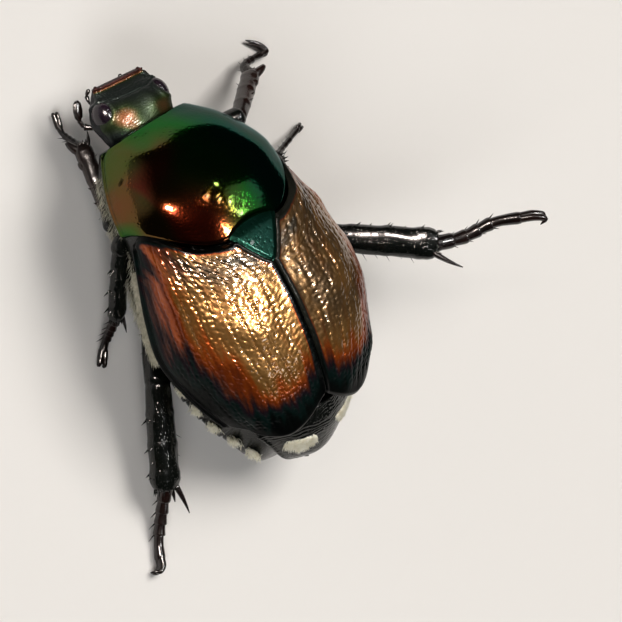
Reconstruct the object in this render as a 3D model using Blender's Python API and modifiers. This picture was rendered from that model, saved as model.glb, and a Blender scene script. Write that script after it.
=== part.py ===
"""A two-spotted flower scarab, life size, still, in the stance that it keeps on a flower.

Everything is drawn in millimetres in the beetle's own frame: f forward along the body, l to its left,
u up from the underside of its breast. The last function turns that into the part's frame in metres:
the beetle faces -Y, its left is +X, the floor is z = 0, and the origin lies under the middle of its box.
"""

import math

import bmesh
import bpy
import numpy as np
from mathutils import Matrix, Vector

MM = 0.001
PLATE = 0.50  # thickness of the hard plates
GAP = 0.20  # clear cut between neighbouring pieces
EDGE_GAP = 0.30  # the same under the plates' side edges
TRUNK_CLEAR = 0.08  # how much more room the ridge of the trunk keeps under the plates
FINE_GAP = 0.12  # the cut round the eyes and feelers
FLOOR_U = -0.60  # the floor, under the underside of the breast

# Outlines of the body: place forward, half width, height of the side edge, height of the ridge, squareness.
PRONOTUM = (
    (4.10, 1.25, 1.51, 2.09, 2.1),
    (3.40, 1.88, 1.86, 3.00, 2.2),
    (2.80, 2.22, 2.04, 3.50, 2.3),
    (2.20, 2.43, 2.18, 3.84, 2.4),
    (1.60, 2.46, 2.20, 4.02, 2.4),
    (0.50, 2.42, 2.22, 4.10, 2.4),
)
ELYTRA = (
    (1.40, 2.46, 2.34, 3.92, 2.6),
    (0.50, 2.70, 2.12, 4.06, 2.8),
    (-0.30, 2.90, 1.94, 4.12, 2.8),
    (-1.30, 3.10, 1.88, 4.12, 2.8),
    (-2.30, 2.94, 1.90, 3.98, 2.8),
    (-3.30, 2.56, 1.95, 3.66, 2.6),
    (-4.10, 2.12, 2.00, 3.24, 2.5),
    (-4.75, 1.70, 2.05, 2.80, 2.4),
)
# The trunk under those plates: place forward, half width, height of its widest line and of its underside.
TRUNK = (
    (3.90, 1.10, 1.15, 0.66),
    (3.20, 1.55, 1.12, 0.34),
    (2.20, 1.80, 1.15, 0.10),
    (1.30, 1.98, 1.20, 0.02),
    (0.60, 2.22, 1.20, 0.00),
    (-0.30, 2.38, 1.12, 0.00),
    (-1.40, 2.48, 1.05, 0.05),
    (-2.40, 2.46, 1.12, 0.12),
    (-3.50, 2.22, 1.18, 0.28),
    (-4.50, 1.74, 1.36, 0.58),
    (-5.20, 1.34, 1.30, 0.84),
)
WAIST_F = -0.85  # where the abdomen begins

PRONOTUM_FRONT_F, FRONT_BOW = 4.08, 0.12  # the middle of its front edge, and how far back its corners are
LOBE_L, LOBE_F, NOTCH_F = 0.80, 0.62, 0.83  # the pronotum's hind edge: its two lobes and the notch between
LOBE_RISE = 0.47  # how fast that edge runs forward, outside the lobes
SHOULDER_BACK = 0.42  # how far the wing cases' shoulders round back from it
SCUTELLUM_TIP_F, SCUTELLUM_HALF = -0.45, 0.76
APEX_SUTURE_F, APEX_F, APEX_SIDE_F = -4.12, -4.66, -3.95  # the wing cases' hind ends, from seam to side
APEX_ROUND = 0.28  # how much their outer hind corners are rounded off
CASE_TONGUE = 0.25  # how far behind the scutellum's tip the cases already part for it

PYGIDIUM_RIDGE = ((0.0, -4.72, 2.62), (0.35, -5.06, 2.28), (0.7, -5.42, 1.72), (1.0, -5.50, 1.18))
PYGIDIUM_PLATE = 0.45
SPOTS, SPOT_LOCKS = {1: (0.38, 0.50), -1: (0.23, 0.61)}, 9  # where the left and right spots are, their locks

NECK = (4.00, -0.08, 1.75)
HEAD_TURN = math.radians(-5.0)
# The head in its own frame at the neck: place forward, half width, top, underside, squareness.
HEAD = (
    (0.24, 1.12, 0.23, -0.84, 2.5),
    (0.42, 1.14, 0.23, -0.92, 2.6),
    (0.70, 1.06, 0.14, -0.94, 2.7),
    (0.95, 0.93, -0.03, -0.88, 2.8),
    (1.15, 0.84, -0.20, -0.70, 3.0),
    (1.30, 0.76, -0.28, -0.56, 3.4),
)
EYE_AT, EYE_R = (0.58, 0.86, -0.25), 0.36
FEELER = ((0.40, 0.98, -0.86), (0.55, 1.17, -0.90), (0.78, 1.21, -0.89), (1.22, 1.05, -0.86))
FEELER_R = (0.16, 0.15, 0.20, 0.14)

# Legs: foot of the femur, knee, ankle, and the run of the foot to its claws.
LEGS = {
    "front_left": ((2.90, 0.62, 0.02), (2.13, 1.64, 0.84), (4.24, 0.99, 0.26),
                   ((4.45, 0.98, -0.08), (4.70, 0.93, -0.36), (4.92, 0.87, -0.45))),
    "front_right": ((2.90, -0.62, 0.02), (2.84, -2.97, 1.25), (3.52, -4.58, 0.22),
                    ((3.74, -4.70, -0.08), (3.77, -5.14, -0.28), (3.74, -5.55, -0.42))),
    "middle_left": ((0.85, 0.95, -0.08), (1.62, 2.02, 1.25), (-0.02, 2.52, 0.14),
                    ((-0.20, 2.66, -0.12), (-0.44, 2.85, -0.37), (-0.64, 3.01, -0.45))),
    "middle_right": ((0.85, -0.95, -0.08), (1.02, -2.90, 1.16), (1.36, -3.86, 0.42),
                     ((1.40, -4.25, 0.16), (1.49, -4.87, -0.14), (1.58, -5.42, -0.38))),
    "hind_left": ((0.00, 1.00, -0.05), (-1.92, 2.84, 0.86), (-4.36, 3.72, 0.20),
                  ((-4.86, 3.97, -0.14), (-5.42, 4.28, -0.38), (-5.92, 4.54, -0.45))),
    "hind_right": ((0.00, -1.00, -0.05), (-0.92, -3.60, 0.72), (-2.60, -5.70, 2.30),
                   ((-2.80, -6.45, 2.42), (-2.88, -7.32, 2.68), (-3.13, -7.97, 2.96))),
}
# The way the shin's outer edge faces, where it isn't away from the body in the plane of the leg.
OUTER_EDGE = {
    "hind_right": (0.87, -0.46, 0.18),
    "hind_left": (0.35, 0.94, 0.20),
    "front_left": (0.45, 0.80, -0.40),
}
# Half width and thickness of the femur, half width of the tibia at the knee and ankle, its half thickness.
LEG_SIZES = {
    "front": (0.36, 0.26, 0.20, 0.26, 0.22),
    "middle": (0.38, 0.27, 0.20, 0.26, 0.22),
    "hind": (0.46, 0.30, 0.32, 0.41, 0.28),
}
FOOT_R, FOOT_JOINTS, CLAW_R, CLAWS_APART = 0.22, 5, 0.13, 0.15
# How far the claws reach ahead, and how far their tips are hooked from there.
CLAWS = {
    "front_left": (0.30, (0.00, 0.00, -0.12)),
    "front_right": (0.30, (0.53, 0.49, 0.00)),
    "middle_left": (0.30, (0.00, 0.00, -0.12)),
    "middle_right": (0.24, (0.00, 0.00, -0.08)),
    "hind_left": (0.26, (0.08, 0.26, 0.00)),
    "hind_right": (0.57, (-0.16, 0.10, -0.16)),
}
TEETH = ((0.02, 0.28), (0.46, 0.06))  # the front shin's teeth: how far back from the ankle, and their reach
SPINE_SPREAD = (1.0, 0.78, 1.15, 0.90, 1.05)  # how the lengths of neighbouring spines vary
RAISED_LEG = "hind_right"
SPUR_LENGTH = {"front": 0.40, "middle": 0.55, "hind": 0.78}
TUFTS_F = (-2.30, -2.92, -3.52, -4.10, -4.62)  # the white tufts along each side of the abdomen

OBJECT_NAME = "two_spotted_flower_scarab"
# What each kind of piece looks like: colour, metallic and roughness.
LOOKS = {
    "green_plate": ((0.03, 0.10, 0.04), 0.9, 0.18),
    "wing_case": ((0.36, 0.15, 0.04), 0.6, 0.25),
    "black_plate": ((0.015, 0.02, 0.015), 0.4, 0.25),
    "eye_facets": ((0.03, 0.02, 0.03), 0.0, 0.15),
}


def clear_scene():
    for obj in list(bpy.data.objects):
        bpy.data.objects.remove(obj)


def collection(name):
    found = bpy.data.collections.get(name)
    if not found:
        found = bpy.data.collections.new(name)
        bpy.context.scene.collection.children.link(found)
    return found


def dress(obj, look):
    """Gives a finished piece a material of its own."""
    colour, metallic, roughness = LOOKS[look]
    made = bpy.data.materials.new(obj.name + "_" + look)
    made.use_nodes = True
    shader = made.node_tree.nodes["Principled BSDF"]
    shader.inputs["Base Color"].default_value = (*colour, 1.0)
    shader.inputs["Metallic"].default_value = metallic
    shader.inputs["Roughness"].default_value = roughness
    obj.data.materials.clear()
    obj.data.materials.append(made)


def along(table, f):
    """A row of sizes at place f: a cubic curve through the table's stations, with averaged slopes."""
    rows = np.array(sorted(table))
    x, y = rows[:, 0], rows[:, 1:]
    step = np.diff(x)[:, None]
    slope = np.diff(y, axis=0) / step
    tangent = np.vstack([slope[:1], (slope[1:] + slope[:-1]) / 2, slope[-1:]])
    k = int(np.clip(np.searchsorted(x, f) - 1, 0, len(x) - 2))
    h = x[k + 1] - x[k]
    t = min(max((f - x[k]) / h, 0.0), 1.0)
    a, b = y[k], y[k + 1]
    return (
        (2 * t**3 - 3 * t**2 + 1) * a
        + (t**3 - 2 * t**2 + t) * h * tangent[k]
        + (3 * t**2 - 2 * t**3) * b
        + (t**3 - t**2) * h * tangent[k + 1]
    )


def new_object(name, bm):
    bmesh.ops.recalc_face_normals(bm, faces=bm.faces)
    mesh = bpy.data.meshes.new(name)
    bm.to_mesh(mesh)
    bm.free()
    obj = bpy.data.objects.new(name, mesh)
    collection(OBJECT_NAME).objects.link(obj)
    return obj


def loft(name, rings):
    """A closed solid through rings of equally many points, its two ends closed with fans."""
    bm = bmesh.new()
    made = [[bm.verts.new(p) for p in ring] for ring in rings]
    for near, far in zip(made, made[1:]):
        for i in range(len(near)):
            j = (i + 1) % len(near)
            bm.faces.new((near[i], near[j], far[j], far[i]))
    for ring, points in ((made[0], rings[0]), (made[-1], rings[-1])):
        middle = bm.verts.new(sum((Vector(p) for p in points), Vector()) / len(points))
        for i in range(len(ring)):
            bm.faces.new((ring[i], ring[(i + 1) % len(ring)], middle))
    return new_object(name, bm)


def oval(centre, wide, thick, half_wide, half_thick, count, boxy=2.0):
    """A ring of count points round centre: an ellipse, or squarer where boxy is over 2."""
    wide, thick, centre = Vector(wide).normalized(), Vector(thick).normalized(), Vector(centre)
    points = []
    for i in range(count):
        a = 2 * math.pi * i / count
        x = math.copysign(abs(math.cos(a)) ** (2 / boxy), math.cos(a))
        y = math.copysign(abs(math.sin(a)) ** (2 / boxy), math.sin(a))
        points.append(centre + wide * half_wide * x + thick * half_thick * y)
    return points


def smooth_path(points, count):
    """Evenly counted points on a smooth curve through a few given ones."""
    given = np.array([tuple(p) for p in points], float)
    reach = np.concatenate([[0.0], np.cumsum(np.linalg.norm(np.diff(given, axis=0), axis=1))])
    table = [(r, *p) for r, p in zip(reach, given)]
    return [Vector(along(table, r)) for r in np.linspace(0.0, reach[-1], count)]


def limb(name, path, half_wide, half_thick, across, sides=8):
    """A flattened limb along a path, with its widths given at each point of it."""
    rings = []
    for i, p in enumerate(path):
        ahead = (path[min(i + 1, len(path) - 1)] - path[max(i - 1, 0)]).normalized()
        wide = (Vector(across) - ahead * ahead.dot(Vector(across))).normalized()
        rings.append(oval(p, wide, ahead.cross(wide), half_wide[i], half_thick[i], sides))
    return loft(name, rings)


def spike(name, root, tip, radius, tip_radius, sides):
    """A tapered spike from root to tip, blunt at its end."""
    root, tip = Vector(root), Vector(tip)
    ahead = tip - root
    bm = bmesh.new()
    bmesh.ops.create_cone(bm, cap_ends=True, segments=sides, radius1=radius, radius2=tip_radius,
                          depth=ahead.length)
    turn = ahead.to_track_quat("Z", "Y").to_matrix().to_4x4()
    bmesh.ops.transform(bm, matrix=Matrix.Translation((root + tip) / 2) @ turn, verts=bm.verts)
    return new_object(name, bm)


def boolean(obj, others, operation, solver):
    """Joins or cuts with the others, which are wire guides in their own collection until that is done."""
    helpers = collection("cutters")
    for other in others:
        collection(OBJECT_NAME).objects.unlink(other)
        helpers.objects.link(other)
        other.hide_render = True
        other.display_type = "WIRE"
    modifier = obj.modifiers.new("join", "BOOLEAN")
    modifier.operation = operation
    modifier.operand_type = "COLLECTION"
    modifier.collection = helpers
    modifier.solver = solver
    bpy.context.view_layer.update()
    graph = bpy.context.evaluated_depsgraph_get()
    mesh = bpy.data.meshes.new_from_object(obj.evaluated_get(graph))
    obj.modifiers.clear()
    obj.data = mesh
    for other in others:
        bpy.data.objects.remove(other)
    keep_largest(obj)
    return obj


def keep_largest(obj):
    """Keeps the largest closed surface of the mesh: a sealed hollow or a loose scrap goes."""
    bm = bmesh.new()
    bm.from_mesh(obj.data)
    bmesh.ops.triangulate(bm, faces=bm.faces)
    bmesh.ops.remove_doubles(bm, verts=bm.verts, dist=1e-4)
    bmesh.ops.dissolve_degenerate(bm, edges=bm.edges, dist=1e-4)
    unseen = set(bm.verts)
    groups = []
    while unseen:
        stack, group = [unseen.pop()], []
        while stack:
            v = stack.pop()
            group.append(v)
            for e in v.link_edges:
                w = e.other_vert(v)
                if w in unseen:
                    unseen.remove(w)
                    stack.append(w)
        groups.append(group)
    groups.sort(key=len)
    bmesh.ops.delete(bm, geom=[v for g in groups[:-1] for v in g], context="VERTS")
    bm.to_mesh(obj.data)
    bm.free()


def union(obj, others, solver="EXACT"):
    return boolean(obj, others, "UNION", solver)


def cut(obj, cutters, solver="EXACT"):
    return boolean(obj, cutters, "DIFFERENCE", solver)


def arch(table, f, l_share):
    """A point of the body's back: l_share is -1 at the right edge, 0 on the ridge and 1 at the left edge."""
    width, edge, ridge, square = along(table, f)
    angle = abs(l_share) * math.pi / 2
    l = math.copysign(width * math.sin(angle) ** (2 / square), l_share)
    return Vector((f, l, edge + (ridge - edge) * max(0.0, math.cos(angle)) ** (2 / square)))


def share_at(table, f, l):
    """The l_share whose point of the back stands at distance l from the middle."""
    width, _, _, square = along(table, f)
    return math.asin(min(1.0, abs(l) / width) ** (square / 2)) / (math.pi / 2)


def shell(name, grid, thickness=PLATE, grow=0.0):
    """A plate: an open sheet of points, thickened inwards by Solidify, or grown both ways as a cutter."""
    bm = bmesh.new()
    rows = [[bm.verts.new(p) for p in row] for row in grid]
    for near, far in zip(rows, rows[1:]):
        for i in range(len(near) - 1):
            bm.faces.new((near[i], near[i + 1], far[i + 1], far[i]))
    for face in bm.faces:
        face.normal_update()
    middle = rows[len(rows) // 2][len(rows[0]) // 2]
    if middle.link_faces[0].normal.z < 0:
        bmesh.ops.reverse_faces(bm, faces=bm.faces)
    mesh = bpy.data.meshes.new(name)
    bm.to_mesh(mesh)
    bm.free()
    obj = bpy.data.objects.new(name, mesh)
    collection(OBJECT_NAME).objects.link(obj)
    solidify = obj.modifiers.new("plate", "SOLIDIFY")
    solidify.thickness = thickness + 2 * grow
    solidify.offset = 2 * grow / solidify.thickness - 1.0
    solidify.use_even_offset = False
    bpy.context.view_layer.update()
    graph = bpy.context.evaluated_depsgraph_get()
    solid = bpy.data.meshes.new_from_object(obj.evaluated_get(graph))
    obj.modifiers.clear()
    obj.data = solid
    return obj


def hind_edge(l):
    """Place forward of the pronotum's hind edge at distance l from the middle."""
    l = abs(l)
    if l < LOBE_L:
        return NOTCH_F - (NOTCH_F - LOBE_F) * (l / LOBE_L) ** 2
    return LOBE_F + LOBE_RISE * (l - LOBE_L) ** 2


def pronotum(rows=12, columns=22):
    def row(i):
        made = []
        for j in range(columns + 1):
            share = 2 * j / columns - 1
            front = PRONOTUM_FRONT_F - FRONT_BOW * share**2
            back = hind_edge(arch(PRONOTUM, 1.0, share).y)
            f = front + (back - front) * i / rows
            made.append(arch(PRONOTUM, f, share))
        return made

    return shell("pronotum", [row(i) for i in range(rows + 1)])


def scutellum_half_width(f):
    back = (f - SCUTELLUM_TIP_F) / (LOBE_F - SCUTELLUM_TIP_F)
    return SCUTELLUM_HALF * max(0.0, back) ** 0.8


def scutellum(rows=6, columns=8):
    grid = []
    for i in range(rows + 1):
        line = []
        for j in range(columns + 1):
            across = 2 * j / columns - 1
            base = hind_edge(across * SCUTELLUM_HALF) - GAP
            f = SCUTELLUM_TIP_F + 0.04 + (base - SCUTELLUM_TIP_F - 0.04) * i / rows
            l = across * max(0.06, scutellum_half_width(f + 0.02))
            top = arch(ELYTRA, f, share_at(ELYTRA, f, l))
            line.append(Vector((f, l, top.z + 0.02)))
        grid.append(line)
    return shell("scutellum", grid)


def elytron(side, rows=20, columns=12):
    def inner(f):
        room = scutellum_half_width(f) + GAP if f > SCUTELLUM_TIP_F - CASE_TONGUE else 0.0
        return max(GAP / 2, room)

    grid = [[] for _ in range(rows + 1)]
    for j in range(columns + 1):
        t = j / columns
        base_share = share_at(ELYTRA, 0.7, LOBE_L) * (1 - t) + t
        start = hind_edge(arch(ELYTRA, 1.0, base_share).y) - GAP - SHOULDER_BACK * t**5
        bulge = math.sin(math.pi * min(1.0, t * 1.25)) ** 0.6
        end = APEX_SUTURE_F + (APEX_SIDE_F - APEX_SUTURE_F) * t**3 + (APEX_F - APEX_SUTURE_F) * bulge
        corner = min(max((t - 0.78) / 0.22, 0.0), 1.0)
        end += APEX_ROUND * corner**2 * (3 - 2 * corner)
        for i, line in enumerate(grid):
            f = start + (end - start) * (i / rows)
            low = share_at(ELYTRA, f, inner(f))
            line.append(arch(ELYTRA, f, low + (1 - low) * t))
    for line in grid:
        for p in line:
            p.y *= side
    return shell("elytron_left" if side > 0 else "elytron_right", grid)


def roof_at(f):
    """Half width, edge height and ridge height of the plates over the trunk at place f."""
    table = PRONOTUM if f > 1.1 else ELYTRA
    width, edge, ridge, _ = along(table, f)
    slope = (along(table, f + 0.1)[2] - along(table, f - 0.1)[2]) / 0.2
    if 0.2 < f < 1.8:
        other = along(ELYTRA if f > 1.1 else PRONOTUM, f)
        width, edge, ridge = min(width, other[0]), min(edge, other[1]), min(ridge, other[2])
    inner = PLATE + GAP
    return width - inner, edge - EDGE_GAP, ridge - (inner + TRUNK_CLEAR) * math.hypot(1.0, slope)


def trunk_ring(f, lean=0.0, low=8, high=10):
    """One section of the trunk: a rounded underside, a ledge under the plates' edges, a dome inside them."""
    width, widest, bottom = along(TRUNK, f)
    dome, ledge, ridge = roof_at(f)
    dome, widest = max(dome, 0.2), min(widest, ledge - 0.12)
    half = [(width * math.sin(a), widest - (widest - bottom) * math.cos(a) ** 0.8)
            for a in np.linspace(0.0, math.pi / 2, low)]
    half.append((max(width * 0.97, dome + 0.02), ledge))
    half += [(dome * math.cos(a), ledge + 0.01 + (ridge - ledge) * math.sin(a))
             for a in np.linspace(0.0, math.pi / 2, high)]
    ring = half + [(-l, u) for l, u in reversed(half[1:-1])]
    return [Vector((f + lean * (u - ledge), l, u)) for l, u in ring]


def tuft(name, root, tip, half_wide, half_thick):
    """A flat tapered lock of close white hair."""
    root, tip = Vector(root), Vector(tip)
    ahead = (tip - root).normalized()
    wide = ahead.cross(Vector((0, 0, 1))).normalized()
    if abs(ahead.y) > 0.8:
        wide = Vector((1, 0, 0))
    thick = ahead.cross(wide)
    shares = ((0.0, 0.8), (0.5, 1.0), (0.85, 0.7), (1.0, 0.2))
    rings = [oval(root.lerp(tip, s), wide, thick, half_wide * k, half_thick * k, 6) for s, k in shares]
    return loft(name, rings)


def thorax():
    stations = np.linspace(3.84, WAIST_F + GAP / 2, 13)
    body = loft("thorax", [trunk_ring(f) for f in stations])
    keel = loft(
        "keel",
        [
            oval((2.15, 0, 0.10), (0, 1, 0), (0, 0, 1), 0.10, 0.10, 8),
            oval((1.90, 0, 0.06), (0, 1, 0), (0, 0, 1), 0.22, 0.20, 8),
            oval((0.90, 0, 0.08), (0, 1, 0), (0, 0, 1), 0.30, 0.24, 8),
            oval((-0.40, 0, 0.15), (0, 1, 0), (0, 0, 1), 0.20, 0.20, 8),
        ],
    )
    return union(body, [keel])


def abdomen():
    rings = [trunk_ring(f) for f in np.linspace(WAIST_F - GAP / 2, -3.40, 8)]
    leaning = ((-3.70, 0.08), (-3.98, 0.22), (-4.20, 0.34), (-4.40, 0.42))
    rings += [trunk_ring(f, lean) for f, lean in leaning]
    body = loft("abdomen", rings)
    locks = []
    for side in (1, -1):
        for i, f in enumerate(TUFTS_F):
            width, widest, _ = along(TRUNK, f)
            root = (f + 0.05, side * (width - 0.30), widest)
            tip = (f - 0.10, side * (width + 0.16), widest + 0.06)
            locks.append(tuft(f"tuft{i}{side}", root, tip, 0.20, 0.17))
    union(body, locks)
    return cut(body, [pygidium_plate("behind", GAP)])


def head_place(h, s, w):
    """A point of the head's own frame in the body's frame."""
    turned = Matrix.Rotation(HEAD_TURN * min(1.0, h / 0.5), 3, "Z") @ Vector((h, s, w))
    return Vector(NECK) + turned


def head(sides=20):
    rings = []
    for h, half, top, low, boxy in HEAD:
        middle, height = (top + low) / 2, (top - low) / 2
        ring = oval((h, 0, middle), (0, 1, 0), (0, 0, 1), half, height, sides, boxy)
        rings.append([head_place(*p) for p in ring])
    skull = loft("head", rings)
    neck = [oval((f, NECK[1], 1.45), (0, 1, 0), (0, 0, 1), r, r * 0.8, 14)
            for f, r in ((4.06, 0.60), (4.45, 0.62))]
    return union(skull, [loft("neck", neck)])


def ball(name, centre, radius, segments=16, rings=10):
    bm = bmesh.new()
    bmesh.ops.create_uvsphere(bm, u_segments=segments, v_segments=rings, radius=radius)
    bmesh.ops.translate(bm, verts=bm.verts, vec=Vector(centre))
    return new_object(name, bm)


def eye(side):
    h, s, w = EYE_AT
    return ball("eye_left" if side > 0 else "eye_right", head_place(h, side * s, w), EYE_R)


def feeler(side, grow=0.0):
    """A feeler folded shut beside the head, or the same grown, for the groove that clears it."""
    path = smooth_path([head_place(h, side * s, w) for h, s, w in FEELER], 9)
    radii = np.interp(np.linspace(0, 1, 9), np.linspace(0, 1, len(FEELER_R)), FEELER_R) + grow
    name = "antenna_left" if side > 0 else "antenna_right"
    return limb(name if grow == 0.0 else "groove", path, radii, radii, (0, 0, 1))


def pygidium_point(s, t, widen=0.0):
    """A point of the last plate: s runs from its top edge to its tip, t from the right side to the left."""
    f, u = along(PYGIDIUM_RIDGE, s)
    half = 1.62 * (1 - s) ** 0.55 + 0.12 + widen
    return Vector((f + 0.26 * t * t * half, half * t, u - 0.34 * t * t * half))


def pygidium_plate(name, grow=0.0, rows=8, columns=14):
    grid = [[pygidium_point(i / rows, 2 * j / columns - 1, grow) for j in range(columns + 1)]
            for i in range(rows + 1)]
    return shell(name, grid, PYGIDIUM_PLATE, grow)


def pygidium():
    """The last plate, with the two spots of white hair that name the species."""
    plate = pygidium_plate("pygidium")
    locks = []
    for side in (1, -1):
        for i in range(SPOT_LOCKS):
            turn = 2.4 * i
            reach = math.sqrt((i + 0.5) / SPOT_LOCKS)
            s = SPOTS[side][0] + 0.13 * reach * math.cos(turn)
            t = side * (SPOTS[side][1] + 0.20 * reach * math.sin(turn))
            skin, below = pygidium_point(s, t), pygidium_point(s + 0.12, t * 1.02)
            out = (below - skin).cross(Vector((0, 1, 0))).normalized()
            out = out if out.x < 0 else -out
            lie = (below - skin).normalized()
            start, end = skin - out * 0.14 - lie * 0.10, skin + lie * 0.26 + out * 0.10
            locks.append(tuft(f"lock{side}{i}", start, end, 0.13, 0.09))
    return union(plate, locks, "MANIFOLD")


def leg_frame(name):
    root, knee, ankle, _ = LEGS[name]
    root, knee, ankle = Vector(root), Vector(knee), Vector(ankle)
    plane = (knee - root).cross(ankle - knee).normalized()
    outward = plane.cross((ankle - knee).normalized()).normalized()
    if outward.dot(root - knee) > 0:
        outward = -outward
    if name in OUTER_EDGE:
        ahead = (ankle - knee).normalized()
        outward = Vector(OUTER_EDGE[name])
        outward = (outward - ahead * outward.dot(ahead)).normalized()
        plane = outward.cross(ahead)
    return root, knee, ankle, plane, outward


def femur(name, grow=0.0):
    """The coxa and femur, or the same with their sizes grown, for the grooves that clear them."""
    root, knee, _, plane, _ = leg_frame(name)
    wide, thick = (n + grow for n in LEG_SIZES[name.split("_")[0]][:2])
    ahead = (knee - root).normalized()
    start, end = root - ahead * (0.30 + grow), knee + ahead * grow
    shares = ((0.0, 0.55), (0.12, 0.85), (0.40, 1.0), (0.70, 0.92), (0.90, 0.72), (1.0, 0.52))
    side = plane.cross(ahead).normalized()
    rings = [oval(start.lerp(end, s), side, ahead.cross(side), wide * k, thick * min(1.0, k + 0.1), 10)
             for s, k in shares]
    return loft("femur_" + name if grow == 0.0 else "groove", rings)


def shin_bar(name, grow=0.0):
    _, knee, ankle, plane, outward = leg_frame(name)
    thin, broad, thick = (n + grow for n in LEG_SIZES[name.split("_")[0]][2:])
    ahead = (ankle - knee).normalized()
    start, end = knee - ahead * grow, ankle + ahead * (0.05 + grow)
    shares = ((0.0, thin * 0.7), (0.08, thin), (0.35, thin * 0.5 + broad * 0.5), (0.75, broad * 0.95),
              (0.95, broad), (1.0, broad * 0.8))
    rings = [oval(start.lerp(end, s), outward, plane, half, min(half, thick), 10) for s, half in shares]
    return loft("shin_" + name if grow == 0.0 else "groove", rings)


def spine(name, root, heading, length, radius=0.07):
    """A short four-sided spine, its root sunk 0.1 mm."""
    heading = heading.normalized()
    return spike(name, root - heading * 0.10, root + heading * length, radius, 0.02, 4)


def shin_armour(name):
    """The shin's spurs, and the front one's teeth or the others' rows of spines."""
    kind = name.split("_")[0]
    _, knee, ankle, plane, outward = leg_frame(name)
    thin, broad, thick = LEG_SIZES[kind][2:]
    ahead = (ankle - knee).normalized()
    made = []
    for side, share in ((1, 1.0), (-1, 0.6)):
        base = ankle - ahead * 0.12 - outward * broad * 0.5 + plane * side * thick * 0.35
        lean = ahead * 0.92 - outward * 0.38 + plane * side * 0.12
        point = base + lean * (SPUR_LENGTH[kind] * share + 0.12)
        point.z = max(point.z, FLOOR_U + 0.08)
        made.append(spike(f"spur{side}", base, point, 0.12, 0.02, 6))
    if kind == "front":
        for i, (back, reach) in enumerate(TEETH):
            base = ankle - ahead * (back + 0.12) + outward * broad * 0.45
            point = base + (outward * 0.55 + ahead * 0.83) * (reach + broad * 0.5)
            made.append(spike(f"tooth{i}", base, point, 0.16, 0.07, 6))
        spots = [(share, 0.0, 0.12) for share in (0.30, 0.48)]
    else:
        spots = [(share, tilt, 0.20) for share in (0.24, 0.42, 0.62, 0.80) for tilt in (-0.5, 0.5)]
    for i, (share, tilt, length) in enumerate(spots):
        half = thin + (broad - thin) * share
        out = (outward + plane * tilt).normalized()
        place = knee.lerp(ankle, share) + outward * half * 0.86 + plane * tilt * thick * 0.8
        length *= SPINE_SPREAD[i % len(SPINE_SPREAD)]
        made.append(spine(f"outer{i}", place, out + ahead * 0.7, length))
    for i, share in enumerate((0.35, 0.55, 0.75)):
        half = thin + (broad - thin) * share
        place = knee.lerp(ankle, share) - outward * half * 0.88
        made.append(spine(f"inner{i}", place, -outward + ahead * 0.8, 0.15 * SPINE_SPREAD[i]))
    for i in range(5):
        turn = math.radians(-60 + 30 * i)
        out = outward * math.cos(turn) + plane * math.sin(turn)
        place = ankle + outward * math.cos(turn) * broad * 0.72 + plane * math.sin(turn) * thick * 0.72
        made.append(spine(f"comb{i}", place, ahead + out * 0.35, 0.17 * SPINE_SPREAD[i]))
    return made


def foot(name, rests):
    """The foot's five joints, the spines under them, and its two claws."""
    _, knee, ankle, plane, _ = leg_frame(name)
    ahead = (ankle - knee).normalized()
    route = smooth_path([ankle - ahead * 0.10, *LEGS[name][3]], 2 * FOOT_JOINTS + 1)
    radii = [FOOT_R * (1.0 if i % 2 else 0.84) * (1.0 - 0.02 * i) for i in range(len(route))]
    made = [limb("foot", route, radii, radii, plane)]
    for i in range(2, 2 * FOOT_JOINTS - 1, 2):
        heading = (route[i + 1] - route[i]).normalized()
        down = (Vector((0, 0, -1)) + heading * heading.z).normalized()
        sideways = heading.cross(down)
        for side in (1, -1):
            out = (down * 0.75 + sideways * side * 0.66).normalized()
            skin = route[i] + out * radii[i] * 0.8
            made.append(spine(f"under{i}{side}", skin, out * 0.6 + heading, 0.17, 0.06))
    tip, heading = route[-1], (route[-1] - route[-2]).normalized()
    sideways = heading.cross(Vector((0, 0, 1))).normalized()
    reach, hooked = CLAWS[name][0], Vector(CLAWS[name][1])
    for side in (1, -1):
        apart = sideways * side * CLAWS_APART
        curve = [
            tip - heading * 0.12,
            tip + apart + heading * reach * 0.60,
            tip + apart * 1.3 + heading * reach * 1.10 + hooked * 0.4,
            tip + apart * 1.4 + heading * reach * 0.95 + hooked,
        ]
        if rests:
            for i, clear in ((1, CLAW_R), (2, CLAW_R * 0.8), (3, 0.05)):
                curve[i].z = FLOOR_U + clear
        thick = [CLAW_R, CLAW_R, CLAW_R, CLAW_R * 0.8, CLAW_R * 0.6, 0.04]
        made.append(limb(f"claw{side}", smooth_path(curve, 6), thick, thick, (0, 0, 1), 6))
    return made


def shin(name):
    """The tibia with its armour, foot and claws, cut clear of the femur and to flats on the floor."""
    made = union(shin_bar(name), [*shin_armour(name), *foot(name, name != RAISED_LEG)], "MANIFOLD")
    return cut(made, [femur(name, GAP), under_floor()], "MANIFOLD")


def under_floor():
    """All that lies under the floor, which cuts the feet's undersides to small flats."""
    bm = bmesh.new()
    bmesh.ops.create_cube(bm, size=1.0)
    bmesh.ops.scale(bm, verts=bm.verts, vec=(30.0, 30.0, 1.0))
    bmesh.ops.translate(bm, verts=bm.verts, vec=(0, 0, FLOOR_U - 0.5))
    return new_object("under_floor", bm)


def origin_of(name):
    """The place of a piece's own origin: a leg piece's upper end, the neck, or the middle of its box."""
    kind, _, leg = name.partition("_")
    if kind in ("femur", "shin"):
        return Vector(LEGS[leg][0 if kind == "femur" else 1])
    if name == "head":
        return Vector(NECK)
    points = [v.co for v in bpy.data.objects[name].data.vertices]
    return Vector([(min(p[i] for p in points) + max(p[i] for p in points)) / 2 for i in range(3)])


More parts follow.
